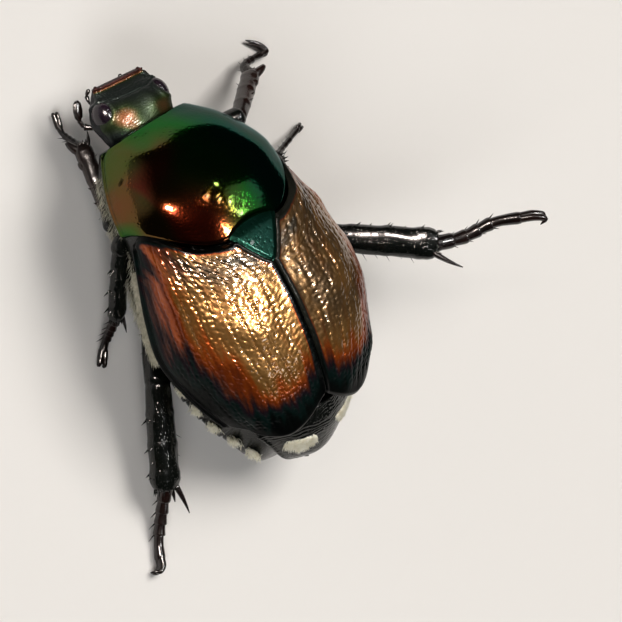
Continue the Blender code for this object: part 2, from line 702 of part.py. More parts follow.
def stand_on_floor(pieces):
    """Sets each piece's origin and location, in metres, on a base that faces -Y with the floor at z = 0."""
    turn = Matrix(((0, 1, 0), (-1, 0, 0), (0, 0, 1)))
    points = [turn @ v.co for piece in pieces for v in piece.data.vertices]
    middle_x, middle_y = ((min(p[i] for p in points) + max(p[i] for p in points)) / 2 for i in (0, 1))
    middle = Vector((middle_x, middle_y, FLOOR_U))
    base = bpy.data.objects.new(OBJECT_NAME + "_base", None)
    collection(OBJECT_NAME).objects.link(base)
    for piece in pieces:
        origin = origin_of(piece.name)
        piece.data.transform(Matrix.Scale(MM, 4) @ turn.to_4x4() @ Matrix.Translation(-origin))
        piece.parent = base
        piece.location = (turn @ origin - middle) * MM


def build_all():
    clear_scene()
    breast = thorax()
    belly = abdomen()
    face = head()
    looks = {pronotum(): "green_plate", scutellum(): "green_plate", face: "green_plate",
             elytron(1): "wing_case", elytron(-1): "wing_case",
             breast: "black_plate", belly: "black_plate", pygidium(): "black_plate"}
    for side in (1, -1):
        h, s, w = EYE_AT
        cut(face, [ball("socket", head_place(h, side * s, w), EYE_R + FINE_GAP), feeler(side, FINE_GAP)])
        looks[eye(side)] = "eye_facets"
        looks[feeler(side)] = "black_plate"
    for name in LEGS:
        cut(breast, [femur(name, GAP), shin_bar(name, GAP)], "MANIFOLD")
        cut(belly, [femur(name, GAP), shin_bar(name, GAP)])
        looks[femur(name)] = "black_plate"
        looks[shin(name)] = "black_plate"
    for piece, look in looks.items():
        dress(piece, look)
    stand_on_floor(list(looks))


build_all()
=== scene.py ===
"""A two-spotted flower scarab as a still, life-size model that stands on a pale floor.

Every piece is drawn in millimetres in the beetle's own frame, forward, left and up from the underside
of its breast, and then placed in the model's metres.
"""

import math

import bpy
import numpy as np
from mathutils import Matrix, Vector


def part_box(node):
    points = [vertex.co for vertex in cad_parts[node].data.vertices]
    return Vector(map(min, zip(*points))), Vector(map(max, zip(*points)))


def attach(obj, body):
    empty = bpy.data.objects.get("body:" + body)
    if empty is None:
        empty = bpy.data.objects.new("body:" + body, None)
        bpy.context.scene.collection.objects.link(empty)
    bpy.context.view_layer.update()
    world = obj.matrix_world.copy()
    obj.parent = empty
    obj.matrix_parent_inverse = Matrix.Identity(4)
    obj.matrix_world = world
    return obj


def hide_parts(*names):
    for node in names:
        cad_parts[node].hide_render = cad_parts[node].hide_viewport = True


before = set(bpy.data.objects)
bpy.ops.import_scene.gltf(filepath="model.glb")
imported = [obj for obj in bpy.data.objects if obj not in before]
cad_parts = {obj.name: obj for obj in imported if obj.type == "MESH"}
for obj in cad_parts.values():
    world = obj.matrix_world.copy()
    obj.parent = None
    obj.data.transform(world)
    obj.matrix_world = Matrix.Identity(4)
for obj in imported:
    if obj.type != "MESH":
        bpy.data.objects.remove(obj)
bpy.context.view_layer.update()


# Stance, camera and light
# The beetle stands on a plain pale floor under soft boxes, with one small bright lamp for the spark that the
# sun gives a polished shell. The camera looks down on its left side, and its roll gives the picture's stance.

MM = 0.001
FLOOR_DEPTH = 0.60
THORAX_FRONT_F = 3.84
MIDDLE_X = (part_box("pronotum")[0].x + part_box("pronotum")[1].x) / 2
ORIGIN_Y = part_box("thorax")[0].y + THORAX_FRONT_F * MM

CAMERA_AZIMUTH, CAMERA_ELEVATION, CAMERA_ROLL = 78.52, 57.47, 70.7
AIM = (-2.190, -0.915, 3.007)
CAMERA_AWAY, VIEW_WIDTH = 200.0, 15.81
LAMPS_MIDDLE = (-0.5, 0.0, 3.5)


def place(points):
    """Turns places forward, left and up from the beetle's breast, in millimetres, into the model's metres."""
    f, l, u = np.moveaxis(np.asarray(points, float), -1, 0)
    return np.stack([MIDDLE_X + l * MM, ORIGIN_Y - f * MM, (u + FLOOR_DEPTH) * MM], -1)


def hex_colour(text):
    """An sRGB colour such as #8040C0 as linear red, green, blue and 1, by the sRGB standard's power curve."""
    srgb = np.array([int(text[i:i + 2], 16) for i in (1, 3, 5)]) / 255
    linear = np.where(srgb <= 0.04045, srgb / 12.92, ((srgb + 0.055) / 1.055) ** 2.4)
    return (*linear.tolist(), 1.0)


def add(tree, kind, inputs=(), stops=(), **settings):
    """Adds a node with its settings, its colour stops, and its inputs, each a fixed value or a link."""
    made = tree.nodes.new("ShaderNode" + kind)
    for name, value in settings.items():
        setattr(made, name, value)
    for name, value in inputs:
        socket = made.inputs[name]
        if isinstance(value, bpy.types.NodeSocket):
            tree.links.new(value, socket)
        else:
            socket.default_value = value
    for i, (at, colour) in enumerate(stops):
        ends = made.color_ramp.elements
        stop = ends[i] if i < 2 else ends.new(at)
        stop.position = at
        stop.color = hex_colour(colour)
    return made


def new_material(name, **sockets):
    """A material of one Principled shader, with the values that are the same all over set on its sockets."""
    made = bpy.data.materials.new(name)
    made.use_nodes = True
    shader = made.node_tree.nodes["Principled BSDF"]
    for socket, value in sockets.items():
        shader.inputs[socket.replace("_", " ")].default_value = value
    return made, made.node_tree, shader


def direction(azimuth, elevation):
    """The way from the model to a place at this azimuth, 0 in front and 90 at its left, and elevation."""
    a, e = math.radians(azimuth), math.radians(elevation)
    return Vector((math.sin(a) * math.cos(e), -math.cos(a) * math.cos(e), math.sin(e)))


camera_data = bpy.data.cameras.new("camera")
camera_data.sensor_width = 36.0
camera_data.lens = camera_data.sensor_width * CAMERA_AWAY / VIEW_WIDTH
camera_data.clip_start = 0.01
camera_data.clip_end = 10.0
camera = bpy.data.objects.new("camera", camera_data)
bpy.context.scene.collection.objects.link(camera)
camera_way = direction(CAMERA_AZIMUTH, CAMERA_ELEVATION)
turned = camera_way.to_track_quat("Z", "Y").to_matrix() @ Matrix.Rotation(math.radians(CAMERA_ROLL), 3, "Z")
camera.matrix_world = Matrix.Translation(Vector(place(AIM)) + camera_way * CAMERA_AWAY * MM) @ turned.to_4x4()
bpy.context.scene.camera = camera
bpy.context.scene.view_settings.view_transform = "Standard"


def lamp(name, azimuth, elevation, away, size, power, tint="#FFFFFF", shading=True, mirrored=True):
    """A square soft box some metres away that faces the beetle, for shading, for reflections or for both."""
    data = bpy.data.lights.new(name, "AREA")
    data.shape = "SQUARE"
    data.size = size
    data.energy = power
    data.color = hex_colour(tint)[:3]
    light = bpy.data.objects.new(name, data)
    bpy.context.scene.collection.objects.link(light)
    way = direction(azimuth, elevation)
    facing = way.to_track_quat("Z", "Y").to_matrix().to_4x4()
    light.matrix_world = Matrix.Translation(Vector(place(LAMPS_MIDDLE)) + way * away) @ facing
    light.visible_camera = False
    light.visible_diffuse = shading
    light.visible_glossy = mirrored


lamp("top_box", -75.0, 66.0, 0.50, 0.30, 2.05, "#FFFBF6", True, False)
lamp("left_box", 120.0, 38.0, 0.50, 0.26, 1.2, "#FFFFFF", True, False)
lamp("spark_lamp", 34.0, 59.0, 0.25, 0.036, 1.60, "#FFF0E6", False)
lamp("spark_glow", 34.0, 59.0, 0.25, 0.080, 0.09, "#FFF0E6", False)
lamp("glint_lamp", -117.0, 72.0, 0.30, 0.036, 1.15, "#FFFDFA", False)
lamp("hind_lamp", -165.0, 42.0, 0.30, 0.040, 0.05, "#FFFFFF", False)
lamp("back_glow", -82.0, 54.0, 0.50, 0.13, 0.035, "#FFFFFF", False)
# Five small bulbs make the scattered sparks on the polished back.
for number, (azimuth, elevation) in enumerate(((-62, 66), (-48, 56), (-84, 60), (-28, 66), (-100, 76))):
    lamp(f"bulb_{number}", azimuth, elevation, 0.30, 0.006, 0.022, "#FFFFFF", False)

# The room is dim above and behind, and brightens softly towards the horizon at the beetle's front left, as it
# does round a light tent that is open at the top.
ROOM_BRIGHT_WAY = direction(35.0, -8.0)
world = bpy.data.worlds.new("soft_room")
world.use_nodes = True
bpy.context.scene.world = world
tree = world.node_tree
way = add(tree, "TexCoord")
facing = add(tree, "VectorMath", [(0, way.outputs["Generated"]), (1, ROOM_BRIGHT_WAY)],
             operation="DOT_PRODUCT")
glow = add(tree, "MapRange", [("Value", facing.outputs["Value"]), ("From Min", 0.66), ("From Max", 1.00),
                              ("To Min", 0.018), ("To Max", 0.50)], interpolation_type="SMOOTHSTEP")
background = tree.nodes["Background"]
background.inputs["Color"].default_value = hex_colour("#EEF0F2")
tree.links.new(glow.outputs["Result"], background.inputs["Strength"])

floor_half = 0.40
floor_mesh = bpy.data.meshes.new("floor")
floor_mesh.from_pydata([(-floor_half, -floor_half, 0), (floor_half, -floor_half, 0),
                        (floor_half, floor_half, 0), (-floor_half, floor_half, 0)], [], [(0, 1, 2, 3)])
floor = bpy.data.objects.new("floor", floor_mesh)
bpy.context.scene.collection.objects.link(floor)
floor_paper, _, _ = new_material("matt_paper", Base_Color=hex_colour("#E9E6E2"), Roughness=0.9)
floor_mesh.materials.append(floor_paper)


# Pronotum
# The shield over the front of the body: one polished plate of hard chitin with a fine raised rim, scattered
# punctures and edges folded under. It is green; the copper at its left, the red near its middle and the teal
# at its right are painted reflection, the colours its mirror layers show at a slant, painted in by place.

PRONOTUM = (  # place forward, half width, height of the side edge, height of the ridge, squareness
    (4.10, 1.25, 1.51, 2.09, 2.1),
    (3.40, 1.88, 1.86, 3.00, 2.2),
    (2.80, 2.22, 2.04, 3.50, 2.3),
    (2.20, 2.43, 2.18, 3.84, 2.4),
    (1.60, 2.46, 2.20, 4.02, 2.4),
    (0.50, 2.42, 2.22, 4.10, 2.4),
)
PRONOTUM_FRONT_F, FRONT_BOW = 4.08, 0.12
LOBE_L, LOBE_F, NOTCH_F, LOBE_RISE = 0.80, 0.62, 0.83, 0.47
SHIELD_OVERHANG = 0.07  # how far the shield reaches back past its hind_edge line
PLATE = 0.07  # thickness of the shell plates
PUNCTURE_SPACING, PUNCTURE_RADIUS = 0.15, 0.026
PATTERN_START = 20.0  # where patterns begin, well to one side of every piece


def along(table, f):
    """Sizes at places f: a cubic curve through the table's stations, with slopes averaged from both sides."""
    rows = np.array(table, float)
    rows = rows[np.argsort(rows[:, 0])]
    f = np.asarray(f, float)
    x, y = rows[:, 0], rows[:, 1:]
    slope = np.diff(y, axis=0) / np.diff(x)[:, None]
    tangent = np.vstack([slope[:1], (slope[1:] + slope[:-1]) / 2, slope[-1:]])
    k = np.clip(np.searchsorted(x, f) - 1, 0, len(x) - 2)
    h = (x[k + 1] - x[k])[..., None]
    t = np.clip((f - x[k]) / (x[k + 1] - x[k]), 0.0, 1.0)[..., None]
    return (
        (2 * t**3 - 3 * t**2 + 1) * y[k]
        + (t**3 - 2 * t**2 + t) * h * tangent[k]
        + (3 * t**2 - 2 * t**3) * y[k + 1]
        + (t**3 - t**2) * h * tangent[k + 1]
    )


def arch(table, f, share):
    """Points of the back: superellipse arches over the side edges, share running from -1 right to 1 left."""
    f, share = np.broadcast_arrays(np.asarray(f, float), np.asarray(share, float))
    width, edge, ridge, square = np.moveaxis(along(table, f), -1, 0)
    angle = np.abs(share) * np.pi / 2
    l = np.sign(share) * width * np.sin(angle) ** (2 / square)
    u = edge + (ridge - edge) * np.clip(np.cos(angle), 0.0, 1.0) ** (2 / square)
    return np.stack([f, l, u], -1)


def hind_edge(l):
    """Place forward of the hind edge at distance l from the middle: a parabola in the lobe, one beyond it."""
    l = np.abs(l)
    lobe = NOTCH_F - (NOTCH_F - LOBE_F) * (l / LOBE_L) ** 2
    return np.where(l < LOBE_L, lobe, LOBE_F + LOBE_RISE * (l - LOBE_L) ** 2)


def smooth(x, low, high):
    """0 below low, 1 above high, and the cubic step between them."""
    t = np.clip((np.asarray(x, float) - low) / (high - low), 0.0, 1.0)
    return t * t * (3 - 2 * t)


def normals(points):
    """Unit normals of a grid of points, across its rows and columns."""
    n = np.cross(np.gradient(points, axis=0), np.gradient(points, axis=1))
    return n / np.maximum(np.linalg.norm(n, axis=-1, keepdims=True), 1e-9)


def run_lengths(points, axis):
    """Distance over the surface from the grid's first row or column."""
    steps = np.linalg.norm(np.diff(points, axis=axis), axis=-1)
    start = np.zeros_like(np.take(steps, [0], axis=axis))
    return np.concatenate([start, np.cumsum(steps, axis=axis)], axis=axis)


def pits(x, y, spacing, seed, keep):
    """Distance to the nearest pit, set at random in its square of the spacing, and that pit's random size."""
    draws = np.random.default_rng(seed).random((4, 64, 64))
    x, y = x + PATTERN_START, y + PATTERN_START
    column, row = np.floor(x / spacing).astype(int), np.floor(y / spacing).astype(int)
    nearest, size = np.full(x.shape, 9.0), np.zeros(x.shape)
    for i_step in (-1, 0, 1):
        for j_step in (-1, 0, 1):
            i, j = column + i_step, row + j_step
            a, b, own, kept = draws[:, i % 64, j % 64]
            away = np.hypot(x - (i + 0.15 + 0.7 * a) * spacing, y - (j + 0.15 + 0.7 * b) * spacing)
            away = np.where(kept < keep, away, 9.0)
            size = np.where(away < nearest, own, size)
            nearest = np.minimum(nearest, away)
    return nearest, size


def swell(x, y, wavelength, seed):
    """A gentle uneven swell, mostly from -1 to 1: the sum of eight sine waves in random directions."""
    total = np.zeros(np.shape(x))
    for turn, phase, scale in np.random.default_rng(seed).random((8, 3)):
        a = 2 * np.pi * turn
        along_wave = (x * np.cos(a) + y * np.sin(a)) * 2 * np.pi / wavelength
        total += np.sin(along_wave * (0.7 + 0.6 * scale) + 6.3 * phase)
    return total / 4


def fold_under(points, side, radius, reach, rise, shares=1.0):
    """Columns that carry on from a side edge: round a bead of the radius and then inwards over the reach."""
    turn = np.linspace(0.0, np.pi / 2, 5)[1:]
    inwards = np.linspace(0.0, reach, 10)[1:]
    l = np.concatenate([radius * (np.cos(turn) - 1), -radius - inwards])
    u = np.concatenate([-radius * np.sin(turn), -radius + inwards * rise])
    fold = np.repeat(points[:, None, :], len(l), axis=1)
    fold[..., 1] += side * l * np.reshape(shares, (-1, 1))
    fold[..., 2] += u * np.reshape(shares, (-1, 1))
    return fold


def grid_part(points, round_about=False, poles=False):
    """Corners and faces of a grid of points: open, or round about with its two ends closed by poles."""
    rows, columns = points.shape[:2]
    i = np.arange(rows - 1)[:, None]
    j = np.arange(columns if round_about else columns - 1)[None, :]
    k = (j + 1) % columns
    quads = np.stack([i * columns + j, i * columns + k, (i + 1) * columns + k, (i + 1) * columns + j], -1)
    corners, triangles = points.reshape(-1, 3), np.zeros((0, 3), int)
    if poles:
        ends = np.stack([points[0].mean(0), points[-1].mean(0)])
        j, k = np.arange(columns), (np.arange(columns) + 1) % columns
        first = np.stack([k, j, np.full(columns, rows * columns)], -1)
        last = np.stack([j, k, np.full(columns, rows * columns + 1)], -1)
        last[:, :2] += (rows - 1) * columns
        triangles = np.concatenate([first, last])
        corners = np.concatenate([corners, ends])
    return outwards(corners, quads.reshape(-1, 4), triangles)


def outwards(corners, quads, triangles):
    """The same faces, all turned over where on the whole they face the middle of the part."""
    middle = corners.mean(0)
    q = corners[quads]
    facing = (np.cross(q[:, 2] - q[:, 0], q[:, 3] - q[:, 1]) * (q.mean(1) - middle)).sum()
    if facing < 0:
        quads, triangles = quads[:, ::-1], triangles[:, ::-1]
    return corners, quads, triangles


def make_piece(name, parts, materials, replaced=(), looks=None):
    """One smooth mesh of all the parts, riding on the model; looks gives each part's material number."""
    corners = np.concatenate([part[0] for part in parts])
    starts = np.cumsum([0] + [len(part[0]) for part in parts[:-1]])
    quads = [part[1] + start for part, start in zip(parts, starts)]
    triangles = [part[2] + start for part, start in zip(parts, starts)]
    faces = [kind for part in zip(quads, triangles) for kind in part if len(kind)]
    totals = np.concatenate([np.full(len(kind), kind.shape[1]) for kind in faces])
    mesh = bpy.data.meshes.new(name)
    mesh.vertices.add(len(corners))
    mesh.vertices.foreach_set("co", place(corners).ravel())
    mesh.loops.add(int(totals.sum()))
    mesh.loops.foreach_set("vertex_index", np.concatenate([kind.ravel() for kind in faces]))
    mesh.polygons.add(len(totals))
    mesh.polygons.foreach_set("loop_start", np.concatenate([[0], np.cumsum(totals)[:-1]]))
    mesh.polygons.foreach_set("use_smooth", np.ones(len(totals), bool))
    for material in materials:
        mesh.materials.append(material)
    if looks is not None:
        counts = [len(part[1]) + len(part[2]) for part in parts]
        mesh.polygons.foreach_set("material_index", np.repeat(looks, counts))
    mesh.update(calc_edges=True)
    mesh.validate()
    piece = bpy.data.objects.new(name, mesh)
    bpy.context.scene.collection.objects.link(piece)
    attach(piece, "root")
    if replaced:
        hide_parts(*replaced)
    return piece


def paint(piece, name, values):
    """Keeps one number for each corner of the mesh, for its material to read."""
    kept = piece.data.attributes.new(name, "FLOAT", "POINT")
    kept.data.foreach_set("value", np.ravel(values).astype(np.float32))


def lay_map(piece, x, y):
    """A UV map of distances over the surface, in millimetres, for patterns that follow it."""
    corner = np.empty(len(piece.data.loops), int)
    piece.data.loops.foreach_get("vertex_index", corner)
    layer = piece.data.uv_layers.new(name="surface_mm")
    layer.data.foreach_set("uv", np.stack([np.ravel(x)[corner], np.ravel(y)[corner]], -1).ravel())


def thicken(piece, thickness):
    """Gives a plate its thickness, inwards from the seen face."""
    wall = piece.modifiers.new("wall", "SOLIDIFY")
    wall.thickness = thickness * MM
    wall.offset = -1.0


PRONOTUM_ROWS, PRONOTUM_COLUMNS = 178, 250
share = np.linspace(-1.0, 1.0, PRONOTUM_COLUMNS)[None, :]
front = PRONOTUM_FRONT_F - FRONT_BOW * share**2
back = hind_edge(arch(PRONOTUM, 1.0, share)[..., 1]) - SHIELD_OVERHANG
run = np.linspace(0.0, 1.0, PRONOTUM_ROWS)[:, None]
shield = arch(PRONOTUM, front + (back - front) * run, share)
down, across = run_lengths(shield, 0), run_lengths(shield, 1)
to_side = np.minimum(across, across[:, -1:] - across)
to_hind = down[-1:] - down
middle_across = across - across[:, -1:] / 2
rim = np.minimum(np.minimum(to_side, to_hind), down)
# Punctures, coarser at the sides.
near, own = pits(middle_across, down, PUNCTURE_SPACING, 5, 0.80)
coarser = 0.7 + 0.4 * smooth(1.2 - to_side, 0.0, 1.2)
height = -(0.003 + 0.005 * own) * coarser * np.exp(-(near / (PUNCTURE_RADIUS * coarser)) ** 2)
# The raised rim with a groove inside it, and the front edge and front corners turned down.
height += 0.022 * np.exp(-((rim - 0.035) / 0.028) ** 2) - 0.012 * np.exp(-((rim - 0.095) / 0.030) ** 2)
height -= 0.10 * smooth(down, 0.12, 0.0) + 0.10 * smooth(0.30 - np.hypot(down, to_side), 0.0, 0.25)
# A back that isn't quite even, one small pit on each side, and the hind edge turned down.
height += 0.020 * swell(middle_across, down, 1.7, 3) * smooth(rim, 0.1, 0.6)
height -= 0.035 * np.exp(-(np.hypot(down - 1.38, to_side - 0.68) / 0.08) ** 2)
height -= 0.10 * smooth(to_hind, 0.10, 0.0)
facing = normals(shield)
facing *= np.sign(facing[PRONOTUM_ROWS // 3, PRONOTUM_COLUMNS // 2, 2])
shield = shield + facing * height[..., None]
corner_shares = 0.02 + 0.98 * smooth(down[:, -1], 0.05, 0.90)
left_fold, right_fold = (fold_under(shield[:, column], side, 0.05, 0.42, 0.25, corner_shares)
                         for column, side in ((-1, 1), (0, -1)))
shield = np.concatenate([right_fold[:, ::-1], shield, left_fold], axis=1)

# Chitin in thin layers that mirror one colour each, smooth as it hardened: a glossy clear coat over a
# metallic green. The copper at the left of the back and the teal at its right are painted reflection: the
# layers' shift of colour at a slant, painted into the base colour by place.
green_shell, tree, shader = new_material(
    "mirror_layered_chitin", Metallic=1.0, Roughness=0.11, Specular_Tint=hex_colour("#7FA8A8"),
    Coat_Weight=0.30, Coat_Roughness=0.05, Coat_IOR=1.45,
)
hue = add(tree, "Attribute", attribute_name="hue")
spot = add(tree, "TexCoord")
cloud = add(tree, "TexNoise", [("Vector", spot.outputs["Object"]), ("Scale", 900.0), ("Detail", 4.0)])
shifted = add(tree, "Math", [(0, cloud.outputs["Fac"]), (1, 0.22), (2, -0.11)], operation="MULTIPLY_ADD")
mixed_hue = add(tree, "Math", [(0, hue.outputs["Fac"]), (1, shifted.outputs[0])], operation="ADD")
colours = add(tree, "ValToRGB", [("Fac", mixed_hue.outputs[0])], stops=(
    (0.0, "#0A4644"), (1.0, "#621A0C"), (0.16, "#0A4A30"), (0.30, "#125818"), (0.44, "#345018"),
    (0.56, "#4C441A"), (0.68, "#63391A"), (0.84, "#6E2A14"),
))
tree.links.new(colours.outputs["Color"], shader.inputs["Base Color"])
grain = add(tree, "TexVoronoi", [("Vector", spot.outputs["Object"]), ("Scale", 16000.0)])
relief = add(tree, "Bump", [("Strength", 0.10), ("Distance", 0.000010),
                            ("Height", grain.outputs["Distance"])])
tree.links.new(relief.outputs["Normal"], shader.inputs["Normal"])

pronotum = make_piece("pronotum_shield", [grid_part(shield)], [green_shell], ["pronotum"])
shield_f, shield_l = shield[..., 0], shield[..., 1]
# Painted reflection: a copper streak runs from the left flank to the middle of the front, a copper band lies
# along the left side, and red, which tints the spark lamp's hot spot, lies between that and the middle.
beside_copper_streak_reflection = 0.92 * (shield_f - 2.64) + 0.39 * (shield_l - 2.08)
copper_streak_reflection = np.exp(-(beside_copper_streak_reflection / 0.30) ** 2) * smooth(shield_l, -0.3, 0.7)
copper_band_reflection = np.exp(-((shield_l - 1.80) / 0.42) ** 2) * smooth(2.9 - shield_f, 0.0, 0.9)
red_hot_spot_reflection = np.exp(-(np.hypot((shield_f - 1.30) / 1.2, shield_l - 1.00) / 0.80) ** 2)
# Teal at the right as painted reflection, green in the middle, redder by the three painted reflections above,
# and green again along the left edge.
shield_hue_and_reflection = 0.32 + 0.24 * copper_band_reflection + 0.34 * copper_streak_reflection + 0.46 * red_hot_spot_reflection - 0.26 * smooth(-shield_l, 0.0, 1.3)
shield_hue_and_reflection += 0.16 * smooth(shield_l, 0.5, 1.3) - 0.14 * smooth(shield_l, 2.25, 2.46)
shield_hue_and_reflection = np.minimum(shield_hue_and_reflection, 1 - 0.40 * smooth(shield_l, 1.66, 1.96))
paint(pronotum, "hue", np.clip(shield_hue_and_reflection, 0.0, 1.0))
thicken(pronotum, PLATE)


# Scutellum
# The small triangular plate between the bases of the wing cases, dark teal green, of the same chitin with the
# same punctures. Its base goes under the pronotum's hind edge.

SCUTELLUM_TIP_F, SCUTELLUM_HALF = -0.45, 0.76
SCUTELLUM_START = 0.03  # how far behind the hind_edge line its base lies
ELYTRA = (  # place forward, half width, height of the side edge, height of the ridge, squareness
    (1.40, 2.46, 2.34, 3.92, 2.6),
    (0.50, 2.70, 2.12, 4.06, 2.8),
    (-0.30, 2.90, 1.94, 4.12, 2.8),
    (-1.30, 3.10, 1.88, 4.12, 2.8),
    (-2.30, 2.94, 1.90, 3.98, 2.8),
    (-3.30, 2.56, 1.95, 3.66, 2.6),
    (-4.10, 2.12, 2.00, 3.24, 2.5),
    (-4.75, 1.70, 2.05, 2.80, 2.4),
)


def share_at(table, f, l):
    """The share of the arch whose point is at distance l from the middle: the arch's formula turned round."""
    width, _, _, square = np.moveaxis(along(table, f), -1, 0)
    return np.arcsin(np.clip(np.abs(l) / width, 0.0, 1.0) ** (square / 2)) / (np.pi / 2)


def scutellum_half(f):
    """Half the scutellum's width at place f: a power curve from its tip to its base."""
    return SCUTELLUM_HALF * np.clip((f - SCUTELLUM_TIP_F) / (LOBE_F - SCUTELLUM_TIP_F), 0.0, 1.2) ** 0.8


across = np.linspace(-1.0, 1.0, 90)[None, :]
run = np.linspace(0.0, 1.0, 90)[:, None]
base = hind_edge(across * SCUTELLUM_HALF) - SCUTELLUM_START
f = SCUTELLUM_TIP_F + (base - SCUTELLUM_TIP_F) * run
l = across * (np.maximum(0.03, scutellum_half(f)) + 0.05)
tongue = arch(ELYTRA, f, share_at(ELYTRA, f, l) * np.sign(l))
down, wide = run_lengths(tongue, 0), run_lengths(tongue, 1)
rim = np.minimum(np.minimum(wide, wide[:, -1:] - wide), down)
near, own = pits(wide - wide[:, -1:] / 2, down, PUNCTURE_SPACING, 8, 0.80)
height = 0.03 * smooth(rim, 0.0, 0.15) - 0.01
height -= (0.003 + 0.004 * own) * np.exp(-(near / PUNCTURE_RADIUS) ** 2)
height -= 0.06 * smooth(f, 0.45, 0.80)
tongue[..., 2] += height
# The same chitin, darker, rougher and with less of a mirror under its clear coat.
dull_shell = green_shell.copy()
dull_shell.name = "dull_layered_chitin"
for socket, value in (("Metallic", 0.70), ("Roughness", 0.28), ("Coat Weight", 0.05)):
    dull_shell.node_tree.nodes["Principled BSDF"].inputs[socket].default_value = value
dark_teals = dull_shell.node_tree.nodes["Color Ramp"].color_ramp.elements
dark_teals[0].color = hex_colour("#021C16")
dark_teals[1].color = hex_colour("#032014")
scutellum = make_piece("scutellum_plate", [grid_part(tongue)], [dull_shell], ["scutellum"])
paint(scutellum, "hue", 0.08 + 0.03 * tongue[..., 1])
thicken(scutellum, PLATE)


# Wing cases
# The two hardened fore wings that close over the flying wings and meet along the suture. Each is one plate of
# golden brown chitin with rows of small pits, a raised dark seam along the suture, and black green edges.

SIDES = ((1, "left"), (-1, "right"))
APEX_SUTURE_F, APEX_F, APEX_SIDE_F = -4.12, -4.66, -3.95
CASE_START, SHOULDER_BACK = 0.10, 0.42  # how far behind hind_edge the cases begin, and more at the side
CASE_ROWS, CASE_COLUMNS = 250, 165
ROW_START, ROW_STEP, ROW_COUNT = 0.075, 0.092, 10
PIT_STEP, PIT_RADIUS, PIT_DEPTH = 0.165, 0.042, 0.013
STRAY_SPACING, STRAY_RADIUS = 0.17, 0.040
SEAM_HALF_GAP = 0.012

# Clear golden brown chitin over the dark body, smooth between its pits: gold in the middle, nearly black at
# its edges, greyer in patches near the base, and darker along the right case's inner half as painted shade.
wing_case, tree, shader = new_material(
    "golden_brown_chitin", Roughness=0.28, IOR=1.45, Coat_Roughness=0.08, Coat_IOR=1.50,
)
margin = add(tree, "Attribute", attribute_name="margin")
grey_and_shade = add(tree, "Attribute", attribute_name="grey_and_shade")
laid = add(tree, "UVMap", uv_map="surface_mm")
# Streaks of lighter and darker chitin run along the case, about 0.3 mm apart and 2 mm long.
stretched = add(tree, "Mapping", [("Vector", laid.outputs["UV"]), ("Scale", (3.6, 0.42, 1.0))])
streaks = add(tree, "TexNoise", [("Vector", stretched.outputs["Vector"]), ("Scale", 1.0), ("Detail", 5.0)])
bent = add(tree, "Math", [(0, streaks.outputs["Fac"]), (1, 0.95), (2, -0.47)], operation="MULTIPLY_ADD")
edge = add(tree, "Math", [(0, margin.outputs["Fac"]), (1, bent.outputs[0])], operation="ADD")
colours = add(tree, "ValToRGB", [("Fac", edge.outputs[0])], stops=(
    (0.0, "#87602F"), (1.0, "#010202"), (0.14, "#875622"), (0.30, "#96430A"), (0.42, "#6E2B08"),
    (0.53, "#3A1A0E"), (0.62, "#160C12"), (0.72, "#051412"), (0.86, "#020504"),
))
# Grey patches near the base, painted shade along the right case's inner half, and an olive tinge between the
# streaks.
clouds = add(tree, "TexNoise", [("Vector", laid.outputs["UV"]), ("Scale", 1.3), ("Detail", 4.0)])
grey_and_shade_mask = add(tree, "Math", [(0, clouds.outputs["Fac"]), (1, 2.6), (2, -0.45)], operation="MULTIPLY_ADD",
            use_clamp=True)
greyed_and_shaded = add(tree, "Math", [(0, grey_and_shade_mask.outputs[0]), (1, grey_and_shade.outputs["Fac"])], operation="MULTIPLY")
mixed = add(tree, "MixRGB", [("Fac", greyed_and_shaded.outputs[0]), ("Color1", colours.outputs["Color"]),
                             ("Color2", hex_colour("#26261F"))])
tree.links.new(mixed.outputs["Color"], shader.inputs["Base Color"])
# The golden middle is mirror layered and clear coated; the black edges only shine a little.
for socket, inner, outer, start in (("Metallic", 0.60, 0.02, 0.40), ("Specular IOR Level", 0.50, 0.07, 0.20),
                                    ("Coat Weight", 0.80, 0.0, 0.02)):
    level = add(tree, "MapRange", [("Value", edge.outputs[0]), ("From Min", start), ("From Max", 0.60),
                                   ("To Min", inner), ("To Max", outer)])
    tree.links.new(level.outputs["Result"], shader.inputs[socket])
spot = add(tree, "TexCoord")
grain = add(tree, "TexNoise", [("Vector", spot.outputs["Object"]), ("Scale", 14000.0), ("Detail", 3.0)])
relief = add(tree, "Bump", [("Strength", 0.25), ("Distance", 0.000012), ("Height", grain.outputs["Fac"])])
tree.links.new(relief.outputs["Normal"], shader.inputs["Normal"])

